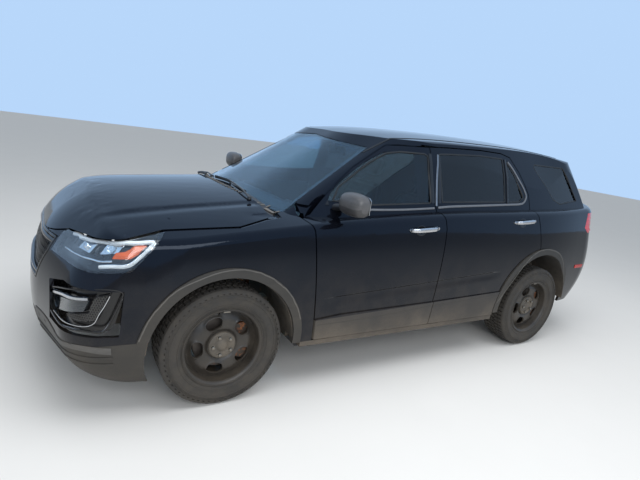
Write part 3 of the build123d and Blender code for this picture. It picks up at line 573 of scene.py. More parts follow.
def skin_tree(*names):
    """The surface of some CAD nodes, for laying pieces on it."""
    verts, faces = [], []
    for name in names:
        start = len(verts)
        verts += [v.co.copy() for v in NODES[name].data.vertices]
        faces += [[start + i for i in p.vertices] for p in NODES[name].data.polygons]
    return BVHTree.FromPolygons(verts, faces)


def cast(tree, start, way, lift):
    """Where a ray meets a skin, lifted off it, and the skin's normal there."""
    place, normal, _, _ = tree.ray_cast(start, Vector(way))
    return (place + normal * lift, normal) if place else (None, None)


# Upright lines inside the front and the rear left corner, as (station, y)
FRONT_CORNER, REAR_CORNER = (0.30, 0.45), (-3.40, 0.50)


def on_side(tree, x, z, lift=0.0):
    """The place on the left side's skin at a station and height, lifted off it."""
    return cast(tree, at(x, 1.4, z), (0, -1, 0), lift)


def on_corner(tree, turn, z, lift=0.0):
    """The place on the left front corner's skin, at an angle about an upright line inside it."""
    way = Vector((cos(radians(turn)), sin(radians(turn)), 0))
    return cast(tree, at(*FRONT_CORNER, z) + way * 1.5, -way, lift)


def on_rear_corner(tree, turn, z, lift=0.0):
    way = Vector((-cos(radians(turn)), sin(radians(turn)), 0))
    return cast(tree, at(*REAR_CORNER, z) + way * 1.2, -way, lift)


def on_front(tree, y, z, lift=0.0):
    return cast(tree, at(1.4, y, z), (-1, 0, 0), lift)


def on_rear(tree, y, z, lift=0.0):
    return cast(tree, at(-4.6, y, z), (1, 0, 0), lift)


def on_top(tree, x, y, lift=0.0):
    return cast(tree, at(x, y, 2.2), (0, 0, -1), lift)


def laid(find, tree, points, lift=0.0):
    """Places and steadied normals of a run of points on the skin."""
    found = [find(tree, *p, lift) for p in points]
    found = [(place, normal) for place, normal in found if place is not None]
    normals = []
    for i in range(len(found)):
        near = [normal for _, normal in found[max(0, i - 2):i + 3]]
        normals.append(sum(near, Vector()).normalized())
    return [place for place, _ in found], normals


FLAT_BAR = ((-0.5, 0.0), (-0.5, 0.7), (-0.3, 1.0), (0.3, 1.0), (0.5, 0.7), (0.5, 0.0))
ROUND_BAR = tuple((0.5 * cos(pi * k / 6), 0.5 * sin(pi * k / 6)) for k in range(12))


def strip(places, normals, width, height, profile=FLAT_BAR, closed=False):
    """A bar along places on the skin: width across, height out along the normals."""
    count = len(places)
    rings = []
    for i, (place, normal) in enumerate(zip(places, normals)):
        before = places[i - 1] if i or closed else place
        after = places[(i + 1) % count] if i < count - 1 or closed else place
        along = (after - before).normalized()
        across = normal.cross(along).normalized()
        out = along.cross(across).normalized()
        if out.dot(normal) < 0:
            out = -out
        rings.append([place + across * (a * width) + out * (b * height) for a, b in profile])
    return tube_of(rings, closed)


def skin_bar(find, tree, path, lift, width, height, profile=FLAT_BAR, closed=False):
    """A bar laid along a path on the skin."""
    return strip(*laid(find, tree, path, lift), width, height, profile, closed)


def tube_of(rings, closed=False):
    """A form through rings of points; its ends are capped unless it is closed."""
    size = len(rings[0])
    faces = []
    for i in range(len(rings) if closed else len(rings) - 1):
        j = (i + 1) % len(rings)
        for k in range(size):
            m = (k + 1) % size
            faces.append([i * size + k, i * size + m, j * size + m, j * size + k])
    if not closed:
        faces.append(list(range(size)))
        faces.append([(len(rings) - 1) * size + k for k in reversed(range(size))])
    return Form().add([v for ring in rings for v in ring], faces)


def slab(columns, thick):
    """A closed plate: columns of (outer place, inward direction) run side by side."""
    wide, tall = len(columns), len(columns[0])
    verts = [p for column in columns for p, _ in column]
    verts += [p + n * thick for column in columns for p, n in column]
    half = wide * tall
    faces = []
    for i in range(wide - 1):
        for j in range(tall - 1):
            a = i * tall + j
            b, c, d = a + tall, a + tall + 1, a + 1
            faces += [[a, b, c, d], [half + d, half + c, half + b, half + a]]
    border = [i * tall for i in range(wide)] + [(wide - 1) * tall + j for j in range(1, tall)]
    border += [i * tall + tall - 1 for i in reversed(range(wide - 1))]
    border += list(reversed(range(1, tall - 1)))
    faces += [[b, a, half + a, half + b] for a, b in zip(border, border[1:] + border[:1])]
    return Form().add(verts, faces)


def grid_tree(verts, columns, rows):
    """The surface through columns of places, for laying pieces on it."""
    faces = []
    for i in range(columns - 1):
        for j in range(rows - 1):
            k = i * rows + j
            faces.append([k, k + rows, k + rows + 1, k + 1])
    return BVHTree.FromPolygons(verts, faces)


def block(x0, x1, y0, y1, z0, z1):
    """A box as a form, to be rounded by the piece's own bevel or subdivision."""
    verts = [(x, y, z) for x in (x0, x1) for y in (y0, y1) for z in (z0, z1)]
    faces = [[0, 1, 3, 2], [4, 6, 7, 5], [0, 4, 5, 1], [2, 3, 7, 6], [0, 2, 6, 4], [1, 5, 7, 3]]
    return Form().add(verts, faces)


def ring(centre, side, up, radius, count):
    """Places round a centre, in the plane of two directions."""
    return [centre + (side * cos(a) + up * sin(a)) * radius for a in turns(count)]


def rod(start, end, radius, count=12, end_radius=None):
    """A round bar between two places."""
    start, end = Vector(start), Vector(end)
    along = (end - start).normalized()
    side = along.orthogonal().normalized()
    up = along.cross(side)
    return tube_of([ring(start, side, up, radius, count), ring(end, side, up, end_radius or radius, count)])


def hose(points, radius, count=10, steps=6):
    """A round bar along a smooth path."""
    path = [Vector(p) for p in smooth_path(points, steps)]
    rings, side = [], None
    for i, place in enumerate(path):
        along = (path[min(i + 1, len(path) - 1)] - path[max(i - 1, 0)]).normalized()
        if side is None:
            side = along.orthogonal().normalized()
        else:
            side = (side - along * side.dot(along)).normalized()
        rings.append(ring(place, side, along.cross(side), radius, count))
    return tube_of(rings)


# Repeated things, by geometry nodes

def node_tree(name, inputs):
    """An empty geometry tree with named inputs: its tools, those inputs, and a function that ends it."""
    tree = bpy.data.node_groups.new(name, "GeometryNodeTree")
    tree.interface.new_socket("Geometry", in_out="INPUT", socket_type="NodeSocketGeometry")
    for label, (kind, value) in inputs.items():
        socket = tree.interface.new_socket(label, in_out="INPUT", socket_type="NodeSocket" + kind)
        if value is not None:
            socket.default_value = value
    tree.interface.new_socket("Geometry", in_out="OUTPUT", socket_type="NodeSocketGeometry")
    t, given = Wiring(tree), tree.nodes.new("NodeGroupInput").outputs
    leave = tree.nodes.new("NodeGroupOutput")

    def end(geometry, material):
        painted = t.node("GeometryNodeSetMaterial", Geometry=geometry, Material=material)
        t.put(leave.inputs[0], painted.outputs[0])
    return t, given, end


def grown(tree, values):
    """Runs a geometry tree with these input values and gives the form it makes."""
    carrier = placed("carrier", bpy.data.meshes.new("carrier"))
    modifier = carrier.modifiers.new("grown", "NODES")
    modifier.node_group = tree
    for item in tree.interface.items_tree:
        if item.in_out == "INPUT" and item.name in values:
            modifier[item.identifier] = values[item.name]
    bpy.context.view_layer.update()
    mesh = baked(carrier)
    bpy.data.objects.remove(carrier)
    return Form().add([v.co.copy() for v in mesh.vertices], [list(p.vertices) for p in mesh.polygons])


def tread_tree():
    """A flat belt of tread blocks, each row repeated round the tyre, then bent into a ring."""
    t, given, end = node_tree("tyre_tread", {
        "Row": ("Object", None), "Count": ("Int", TREAD_COUNT), "Radius": ("Float", TREAD_RADIUS),
        "Rubber": ("Material", None)})
    pitch = t.math("DIVIDE", t.math("MULTIPLY", given["Radius"], 2 * pi), given["Count"])
    step = t.node("ShaderNodeCombineXYZ", X=pitch)
    line = t.node("GeometryNodeMeshLine", Count=given["Count"], Offset=step.outputs[0])
    row = t.node("GeometryNodeObjectInfo", Object=given["Row"]).outputs["Geometry"]
    spread = t.node("GeometryNodeInstanceOnPoints", Points=line.outputs[0], Instance=row)
    real = t.node("GeometryNodeRealizeInstances", Geometry=spread.outputs[0])
    x, y, z = t.split(t.node("GeometryNodeInputPosition").outputs[0])
    angle = t.math("DIVIDE", x, given["Radius"])
    reach = t.math("ADD", given["Radius"], z)
    bent = t.node("ShaderNodeCombineXYZ", X=t.math("MULTIPLY", reach, t.math("SINE", angle)), Y=y,
                  Z=t.math("MULTIPLY", reach, t.math("COSINE", angle)))
    wrapped = t.node("GeometryNodeSetPosition", Geometry=real.outputs[0], Position=bent.outputs[0])
    end(wrapped.outputs[0], given["Rubber"])


def mesh_tree():
    """A honeycomb laid on a panel: a lattice of six-sided rings dropped onto the panel along -Z."""
    t, given, end = node_tree("honeycomb", {
        "Cell": ("Object", None), "Panel": ("Object", None), "Pitch": ("Float", 0.02),
        "Width": ("Float", 1.0), "Height": ("Float", 0.3), "Plastic": ("Material", None)})
    across = t.math("DIVIDE", given["Width"], given["Pitch"])
    down = t.math("DIVIDE", given["Height"], t.math("MULTIPLY", given["Pitch"], sqrt(3)))
    join = t.node("GeometryNodeJoinGeometry")
    # Two grids, the second half a step along both ways
    for shift in (0.0, 0.5):
        grid = t.node("GeometryNodeMeshGrid", Size_X=given["Width"], Size_Y=given["Height"],
                      Vertices_X=across, Vertices_Y=down)
        steps = [t.math("DIVIDE", given[size], t.math("SUBTRACT", t.math("FLOOR", number), 1.0))
                 for size, number in (("Width", across), ("Height", down))]
        offset = t.node("ShaderNodeCombineXYZ", X=t.math("MULTIPLY", steps[0], shift),
                        Y=t.math("MULTIPLY", steps[1], shift))
        move = t.node("GeometryNodeTransform", Geometry=grid.outputs[0], Translation=offset.outputs[0])
        t.put(join.inputs[0], move.outputs[0])
    cell, panel = (t.node("GeometryNodeObjectInfo", Object=given[name]).outputs["Geometry"]
                   for name in ("Cell", "Panel"))
    position = t.node("GeometryNodeInputPosition").outputs[0]

    def drop():
        """A ray down onto the panel from above each point: whether it misses, and where it lands."""
        source = t.node("ShaderNodeVectorMath", {"operation": "MULTIPLY_ADD"})
        t.fill(source.inputs, position, (1, 1, 0), (0, 0, 2.0))
        ray = t.node("GeometryNodeRaycast", Target_Geometry=panel, Source_Position=source.outputs[0],
                     Ray_Direction=(0, 0, -1), Ray_Length=4.0)
        miss = t.node("FunctionNodeBooleanMath", {"operation": "NOT"})
        t.put(miss.inputs[0], ray.outputs["Is Hit"])
        return miss.outputs[0], ray.outputs["Hit Position"]
    keep = t.node("GeometryNodeDeleteGeometry", Geometry=join.outputs[0], Selection=drop()[0])
    spread = t.node("GeometryNodeInstanceOnPoints", Points=keep.outputs[0], Instance=cell)
    real = t.node("GeometryNodeRealizeInstances", Geometry=spread.outputs[0])
    miss, landing = drop()
    trim = t.node("GeometryNodeDeleteGeometry", Geometry=real.outputs[0], Selection=miss)
    lift = t.node("ShaderNodeCombineXYZ", Z=t.split(landing)[2])
    lowered = t.node("GeometryNodeSetPosition", Geometry=trim.outputs[0], Offset=lift.outputs[0])
    end(lowered.outputs[0], given["Plastic"])


def honeycomb(panel_form, matrix, pitch, wire, deep, size, material):
    """Honeycomb cells over a panel, seen along a matrix's Z; gives a form in the frame."""
    outer, inner = pitch / sqrt(3), pitch / sqrt(3) - wire
    section = ((outer, 0), (outer, -deep), (inner, -deep), (inner, 0))
    corners = [radians(60 * k + 30) for k in range(6)]
    rings = [[Vector((r * cos(a), r * sin(a), z)) for r, z in section] for a in corners]
    cell = placed("cell_pattern", tube_of(rings, closed=True).mesh("cell_pattern"))
    panel = placed("panel_pattern", panel_form.moved(matrix.inverted()).mesh("panel_pattern"))
    comb = grown(bpy.data.node_groups["honeycomb"], {
        "Cell": cell, "Panel": panel, "Pitch": pitch, "Width": size[0], "Height": size[1],
        "Plastic": MATERIALS[material]})
    for pattern in (cell, panel):
        bpy.data.objects.remove(pattern)
    return comb.moved(matrix)


def facing(place, out):
    """A matrix whose Z looks along out and whose Y is nearest to up."""
    z = Vector(out).normalized()
    x = Vector((0, 0, 1)).cross(z).normalized()
    y = z.cross(x)
    return Matrix.Translation(Vector(place)) @ Matrix((x, y, z)).transposed().to_4x4()


def seated(profile, count, place, out):
    """A turned cap or knob that stands on a place, its axis along out."""
    return closed_turn(profile, count).moved(facing(place, out) @ Matrix.Rotation(radians(90), 4, "X"))


# Stage and CAD nodes

def lay_floor():
    half = 30
    corners = [(-half, -half, 0), (half, -half, 0), (half, half, 0), (-half, half, 0)]
    form = Form().add(corners, [(0, 1, 2, 3)])
    floor = placed("floor", form.mesh("floor"))
    s, shader = finish("floor_pale", (0.78, 0.78, 0.77), 0.8, specular=0.2)
    s.put(shader.inputs["Base Color"], s.blend(s.noise(2, 3), (0.77, 0.77, 0.76), (0.80, 0.80, 0.79)))
    floor.data.materials.append(MATERIALS["floor_pale"])


NODES_BY_FINISH = {
    "door_paint": ("left_body_side", "right_body_side", "front_left_door", "front_right_door",
                   "rear_left_door", "rear_right_door"),
    "black_paint": ("left_fender", "right_fender", "roof", "front_bumper", "rear_bumper", "liftgate", "hood"),
    "moulding_plastic": ("front_valance", "arch_mouldings"),
    "gloss_black": ("grille",),
    "black_plastic": ("fog_lamps", "cowl"),
    "liner_felt": ("wheel_liners",),
    "windshield_glass": ("windshield",),
    "front_glass": ("front_left_door_glass", "front_right_door_glass"),
    "privacy_glass": ("rear_left_door_glass", "rear_right_door_glass", "cargo_side_glass", "liftgate_glass"),
    "lamp_lens": ("headlamps",),
    "red_lens": ("tail_lamps",),
    "weathered_base": ("left_mirror", "right_mirror"),
    "rusty_iron": ("left_front_knuckle", "right_front_knuckle", "rear_suspension", "driveline"),
    "chassis_black": ("front_frame", "bulkhead"),
    "engine_alloy": ("engine",),
    "exhaust_steel": ("exhaust",),
    "tank_plastic": ("fuel_tank",),
    "carpet": ("floor_pan",),
    "cabin_plastic": ("dashboard", "steering_wheel"),
    "seat_fabric": ("front_seats", "rear_bench"),
}


def dress_nodes():
    finishes = {name: made for made, names in NODES_BY_FINISH.items() for name in names}
    for name, node in NODES.items():
        made = finishes.get(name, "wheel_paint" if name.endswith("wheel") else "tyre_rubber")
        node.data.materials.clear()
        node.data.materials.append(MATERIALS[made])


# Wheels and tyres, about the wheel's centre with Y outwards

WHEELS = (("front", 0.0), ("rear", -WHEELBASE))
DISC_SHAPE = (
    (0.070, 0.056), (0.086, 0.056), (0.102, 0.068), (0.118, 0.0705), (0.158, 0.0705), (0.176, 0.064),
    (0.192, 0.055), (0.206, 0.047), (0.2245, 0.047),
)


def on_profile(shape, r):
    """Height of a turned shape at a radius."""
    for (r0, y0), (r1, y1) in zip(shape, shape[1:]):
        if r <= r1:
            return y0 + (y1 - y0) * max(0.0, (r - r0) / (r1 - r0))
    return shape[-1][1]


HOLE_CIRCLE, HOLE_COUNT, FIRST_HOLE = 0.1470, 5, 49

# Half of a hole across and round the wheel, and the power that squares its corners
HOLE_HALF, HOLE_CORNER = (0.0325, 0.0470), 2 / 2.7
DISC_EDGES, DISC_THICK = (0.084, 0.2245), 0.012

# The lip round a hole: how far out from the hole's edge, and how high
HOLE_LIP = ((0.0, -DISC_THICK), (0.0, 0.0005), (0.0018, 0.0034), (0.0052, 0.0034), (0.0085, 0.0006))


def hole_column(dr, dt, half):
    """Places (radius, turn, lift) from one point of a hole's edge out to the border of its sector."""
    inner, outer = DISC_EDGES
    reach = []
    if dr:
        reach.append(((outer if dr > 0 else inner) - HOLE_CIRCLE) / dr)
    if dt:
        reach.append(abs(half / (dt / HOLE_CIRCLE)))
    grow = min(reach)
    edge = (HOLE_CIRCLE + dr * grow, dt / HOLE_CIRCLE * grow)
    column = []
    for out, lift in HOLE_LIP:
        f = 1 + out / hypot(dr, dt)
        column.append((HOLE_CIRCLE + dr * f, dt / HOLE_CIRCLE * f, lift))
    r, t, _ = column[-1]
    return column + [(r + (edge[0] - r) * share, t + (edge[1] - t) * share, 0.0)
                     for share in (0.2, 0.45, 0.7, 1.0)]


def wheel_disc():
    """Five like sectors, each with one rounded hole that has a raised lip."""
    form, count = Form(), 56
    rings = []
    for a in turns(count):
        c, s = squared(a, HOLE_CORNER)
        rings.append(hole_column(c * HOLE_HALF[0], s * HOLE_HALF[1], radians(180 / HOLE_COUNT)))
    depth = len(rings[0])
    back = count * depth
    for sector in range(HOLE_COUNT):
        turn = radians(-(FIRST_HOLE + 360 / HOLE_COUNT * sector))
        verts, faces = [], []
        for behind in (False, True):
            for column in rings:
                for j, (r, t, lift) in enumerate(column):
                    y = on_profile(DISC_SHAPE, r) + (-DISC_THICK if behind and j else lift)
                    verts.append(Vector((r * sin(t + turn), y, r * cos(t + turn))))
        for k in range(count):
            m = (k + 1) % count
            for j in range(depth - 1):
                a, b, c, d = k * depth + j, m * depth + j, m * depth + j + 1, k * depth + j + 1
                faces.append([a, b, c, d])
                faces.append([back + d, back + c, back + b, back + a] if j else [back + d, back + c, b, a])
            # The disc's two round edges are closed; the sectors' straight borders meet each other
            ends = rings[k][-1][0], rings[m][-1][0]
            if any(abs(ends[0] - edge) < 1e-6 and abs(ends[1] - edge) < 1e-6 for edge in DISC_EDGES):
                a, b = k * depth + depth - 1, m * depth + depth - 1
                faces.append([a, b, back + b, back + a])
        form.add(verts, faces)
    return form


RIM_SHAPE = (
    (0.2245, 0.038), (0.2245, 0.058), (0.2255, 0.092), (0.2285, 0.0975), (0.2355, 0.101), (0.2405, 0.1035),
    (0.2425, 0.1075), (0.2405, 0.1115), (0.2370, 0.1115), (0.2350, 0.108), (0.2270, 0.1045),
    (0.2215, 0.099), (0.2175, 0.088), (0.2165, 0.056), (0.203, 0.030), (0.199, -0.040), (0.216, -0.060),
    (0.219, -0.098), (0.233, -0.109), (0.241, -0.109), (0.241, -0.103), (0.2285, -0.099), (0.2275, -0.062),
    (0.208, -0.044), (0.210, 0.018),
)
CAP_SHAPE = (
    (0.0, 0.0835), (0.018, 0.0830), (0.0300, 0.0800), (0.034, 0.0745), (0.042, 0.0735), (0.0480, 0.0770),
    (0.070, 0.0775), (0.0780, 0.0760), (0.0820, 0.071), (0.0825, 0.060), (0.0, 0.060),
)
HUB_SHAPE = ((0.0, 0.0625), (0.0860, 0.0625), (0.0900, 0.056), (0.0860, 0.050), (0.0, 0.050))
ROTOR_SHAPE = (
    (0.0, 0.046), (0.074, 0.046), (0.080, 0.040), (0.081, 0.0185), (0.088, 0.0185), (0.092, 0.0192),
    (0.157, 0.0192), (0.160, 0.017), (0.160, 0.009), (0.150, 0.0082), (0.150, 0.0046), (0.160, 0.004),
    (0.160, -0.004), (0.157, -0.006), (0.080, -0.006), (0.070, 0.0), (0.070, 0.034), (0.0, 0.034),
)
ON_AXIS = 1e-6


def closed_turn(profile, count):
    """A form of revolution about Y from (radius, along) points, which may start and end on the axis."""
    form, rings = Form(), []
    for r, w in profile:
        start = len(form.verts)
        spots = [0.0] if r < ON_AXIS else turns(count)
        form.verts += [Vector((r * sin(a), w, r * cos(a))) for a in spots]
        rings.append(range(start, len(form.verts)))
    pairs = list(zip(rings, rings[1:]))
    if profile[0][0] > ON_AXIS:
        pairs.append((rings[-1], rings[0]))
    for a, b in pairs:
        for i in range(count):
            j = (i + 1) % count
            corners = (a[i % len(a)], b[i % len(b)], b[j % len(b)], a[j % len(a)])
            face = list(dict.fromkeys(corners))
            if len(face) > 2:
                form.faces.append(face)
    form.marks = [0] * len(form.faces)
    return form


NUT_SHAPE = ((0.0128, 0.0745), (0.0128, 0.0775), (0.0108, 0.0780), (0.0106, 0.0905), (0.0080, 0.0935),
             (0.0030, 0.0950))
NUT_CIRCLE = 0.057


def wheel_nut(turn):
    """A nut with a domed end and a washer face, on its pitch circle."""
    rings = [[Vector((r * cos(a), y, r * sin(a))) for a in turns(12)] for r, y in NUT_SHAPE]
    a = radians(-turn)
    return tube_of(rings).moved(Matrix.Translation((NUT_CIRCLE * sin(a), 0, NUT_CIRCLE * cos(a))))


# Half of the tyre's section from the middle of the tread to the bead, and its inside
TYRE_SHAPE = (
    (0.3535, 0.0), (0.3535, 0.060), (0.3532, 0.092), (0.3500, 0.1045), (0.3440, 0.1100), (0.3350, 0.1140),
    (0.3325, 0.1186), (0.3285, 0.1188), (0.3262, 0.1148), (0.3150, 0.1180), (0.3125, 0.1216),
    (0.3085, 0.1216), (0.3062, 0.1186), (0.2850, 0.1192), (0.2700, 0.1162), (0.2680, 0.1188),
    (0.2640, 0.1182), (0.2620, 0.1138), (0.2560, 0.1110), (0.2480, 0.1062), (0.2440, 0.1100),
    (0.2415, 0.1090), (0.2400, 0.1030), (0.2300, 0.0990), (0.2300, 0.0840),
)
TYRE_INSIDE = ((0.2460, 0.0960), (0.3040, 0.1080), (0.3400, 0.0860))


def tyre_carcass():
    """The tyre's body: tread base, rounded shoulders, sidewalls with thin moulded rings, and bead."""
    half = TYRE_SHAPE + TYRE_INSIDE
    return closed_turn(half + tuple((r, -w) for r, w in reversed(half[1:])), 120)


TREAD_COUNT, TREAD_RADIUS, TREAD_PITCH = 62, 0.354, 0.0358

# Rows of blocks: the offset across, the block's outline (along, across) and its height
TREAD_BLOCKS = (
    (0.0, ((-0.0135, -0.015), (0.0125, -0.011), (0.0145, 0.015), (-0.0115, 0.011)), 0.0088),
    (0.036, ((-0.0140, -0.0145), (0.0100, -0.0145), (0.0155, 0.0145), (-0.0085, 0.0145)), 0.0088),
    (-0.036, ((-0.0155, -0.0145), (0.0085, -0.0145), (0.0140, 0.0145), (-0.0100, 0.0145)), 0.0088),
    (0.074, ((-0.0130, -0.017), (0.0125, -0.0155), (0.0135, 0.018), (-0.0120, 0.018)), 0.0082),
    (-0.074, ((-0.0120, -0.018), (0.0135, -0.018), (0.0125, 0.0155), (-0.0130, 0.017)), 0.0082),
)


def tread_block(outline, across, height, shift):
    """One block: a flat top, and sides that spread at the foot."""
    foot = [Vector((x * 1.12 + shift, y * 1.08 + across, -0.002)) for x, y in outline]
    top = [Vector((x + shift, y + across, height)) for x, y in outline]
    sides = [[k, (k + 1) % 4, (k + 1) % 4 + 4, k + 4] for k in range(4)]
    return Form().add(foot + top, [[3, 2, 1, 0], [4, 5, 6, 7]] + sides)


def shoulder_lug(sign, long):
    """A shoulder lug that wraps from the tread down the sidewall; every second one is long."""
    wide, end = (0.0125, (0.1192, -0.0215, 0.003)) if long else (0.0105, (0.1165, -0.0140, 0.003))
    rings = []
    for across, height, lean in ((0.092, 0.0074, 0.0), (0.103, 0.0042, 0.001), (0.1135, -0.0062, 0.002), end):
        on_tread = across < 0.1
        root = (across, height - 0.009) if on_tread else (across - 0.006, height)
        tip = (across if on_tread else across + 0.0022, height)
        rings.append([Vector((x + lean, sign * y, z)) for x, (y, z) in (
            (-wide, root), (wide, root), (wide * 0.86, tip), (-wide * 0.86, tip))])
    return tube_of(rings)


def tyre_tread():
    """All rows of tread blocks, each repeated round the tyre by the tread tree."""
    rows = [tread_block(outline, across, height, 0.5 * (i % 2) * TREAD_PITCH)
            for i, (across, outline, height) in enumerate(TREAD_BLOCKS)]
    rows += [shoulder_lug(sign, long).moved(Matrix.Translation((TREAD_PITCH / 2 * long, 0, 0)))
             for sign in (1, -1) for long in (0, 1)]
    form = Form()
    for row_form in rows:
        row = placed("tread_pattern", row_form.mesh("tread_pattern"))
        form.join(grown(bpy.data.node_groups["tyre_tread"], {
            "Row": row, "Count": TREAD_COUNT, "Radius": TREAD_RADIUS, "Rubber": MATERIALS["tyre_rubber"]}))
        bpy.data.objects.remove(row)
    return form


def build_wheels():
    tread_tree()
    nuts = Form()
    for k in range(HOLE_COUNT):
        nuts.join(wheel_nut(FIRST_HOLE + 360 / HOLE_COUNT * k))
    parts = (
        ("wheel_disc", wheel_disc(), "wheel_paint", {"sharp": 50}),
        ("wheel_rim", closed_turn(RIM_SHAPE, 96), "wheel_paint", {"sharp": 35, "replaces": "wheel"}),
        ("wheel_hub", closed_turn(HUB_SHAPE, 64), "wheel_paint", {}),
        ("wheel_cap", closed_turn(CAP_SHAPE, 64), "wheel_cap", {"sharp": 50}),
        ("wheel_nuts", nuts, "nut_steel", {"sharp": 30}),
        ("wheel_valve", rod((0.030, 0.048, 0.2000), (0.0305, 0.078, 0.1945), 0.0042, 10, 0.0032),
         "rubber_seal", {}),
        ("rim_weight", block(-0.020, 0.020, 0.098, 0.1035, 0.2160, 0.2245), "nut_steel", {"bevel": 0.0015}),
        ("brake_rotor", closed_turn(ROTOR_SHAPE, 64), "rotor_steel", {"sharp": 35}),
        ("tyre_carcass", tyre_carcass(), "tyre_rubber", {"sharp": 45, "replaces": "tyre"}),
        ("tyre_tread", tyre_tread(), "tyre_rubber", {"sharp": 30}),
    )
    for corner, x in WHEELS:
        place = Matrix.Translation(at(x, WHEEL_Y, WHEEL_Z))
        for name, form, material, settings in parts:
            settings = dict(settings)
            if "replaces" in settings:
                settings["replaces"] = (f"{corner}_SIDE_{settings['replaces']}",)
            wheel = f"{corner}_SIDE_wheel_body"
            pair(f"{corner}_SIDE_{name}", form.moved(place), material, wheel, **settings)


# Lamps, grille and the front's trims

def skin_patch(name, outwards, least=0.45):
    """The outer faces of one left-hand CAD solid: places, smooth normals, faces and border edges."""
    work = bmesh.new()
    work.from_mesh(NODES[name].data)
    bmesh.ops.remove_doubles(work, verts=work.verts, dist=MERGE)
    gone = []
    for face in work.faces:
        middle = face.calc_center_median()
        if middle.y < 0 or face.normal.dot(outwards(middle)) < least:
            gone.append(face)
    bmesh.ops.delete(work, geom=gone, context="FACES")
    bmesh.ops.dissolve_limit(work, angle_limit=radians(0.5), verts=work.verts, edges=work.edges)
    work.verts.ensure_lookup_table()
    work.normal_update()
    places = [v.co.copy() for v in work.verts]
    normals = [v.normal.copy() for v in work.verts]
    faces = [[v.index for v in f.verts] for f in work.faces]
    rims = [[e.verts[0].index, e.verts[1].index] for e in work.edges if e.is_boundary]
    work.free()
    return places, normals, faces, rims


def between(patch, near, far):
    """A closed plate between two depths below a skin patch."""
    places, normals, faces, rims = patch
    count = len(places)
    verts = [p - n * deep for deep in (near, far) for p, n in zip(places, normals)]
    owned = {edge for face in faces for edge in zip(face, face[1:] + face[:1])}
    walls = []
    for a, b in rims:
        if (a, b) in owned:
            a, b = b, a
        walls.append([a, b, count + b, count + a])
    return Form().add(verts, faces + [[count + i for i in reversed(face)] for face in faces] + walls)


def corner_out(place):
    """Which way the front corner's skin looks, seen from the upright line inside it."""
    away = Vector((place.x - FRONT_AXLE_X - FRONT_CORNER[0], place.y - FRONT_CORNER[1], 0.0))
    return (away.normalized() + Vector((0, 0, 0.15))).normalized()


def corner_panel(tree, outline, lift, thick, columns=14, rows=6, find=on_corner):
    """A plate inside an outline given as (place along, height), laid under or over the skin."""
    lows, highs = min(p[0] for p in outline), max(p[0] for p in outline)
    grid = []
    for i in range(columns + 1):
        u = lows + (highs - lows) * (0.002 + 0.996 * i / columns)
        cross = []
        for (a, za), (b, zb) in zip(outline, outline[1:] + outline[:1]):
            if (a - u) * (b - u) <= 0 and a != b:
                cross.append(za + (zb - za) * (u - a) / (b - a))
        if len(cross) < 2:
            continue
        low, high = min(cross), max(cross)
        found = [find(tree, u, low + (high - low) * j / rows, lift) for j in range(rows + 1)]
        if all(place is not None for place, _ in found):
            grid.append([(place, -normal) for place, normal in found])
    return slab(grid, thick)


LAMP_TOP_LINE = ((14.7, 0.947), (26.0, 0.957), (37.6, 0.965), (56.1, 0.983), (70.1, 0.996), (76.8, 1.001))
LAMP_SIDE_LINE = ((76.8, 1.001), (74.6, 0.959), (70.0, 0.910), (65.2, 0.873), (57.1, 0.868), (50.5, 0.859))
AMBER = (
    (66.5, 0.982), (73.2, 0.984), (69.6, 0.930), (65.3, 0.906), (56.0, 0.905), (56.6, 0.934), (62, 0.942),
    (65.0, 0.958),
)
FACET_INNER = ((25.0, 0.903), (26.0, 0.950), (41.0, 0.960), (40.0, 0.908))
FACET_OUTER = ((47.0, 0.918), (48.0, 0.968), (60.0, 0.978), (59.0, 0.938))
LOWER_STRIP = ((13.5, 0.872), (26.0, 0.872), (43.0, 0.884), (50.0, 0.884), (56.5, 0.893))
PROJECTOR = (
    (0.0, 0.020), (0.010, 0.0185), (0.0165, 0.0135), (0.0185, 0.007), (0.0225, 0.007), (0.0225, 0.0),
    (0.0, 0.0),
)


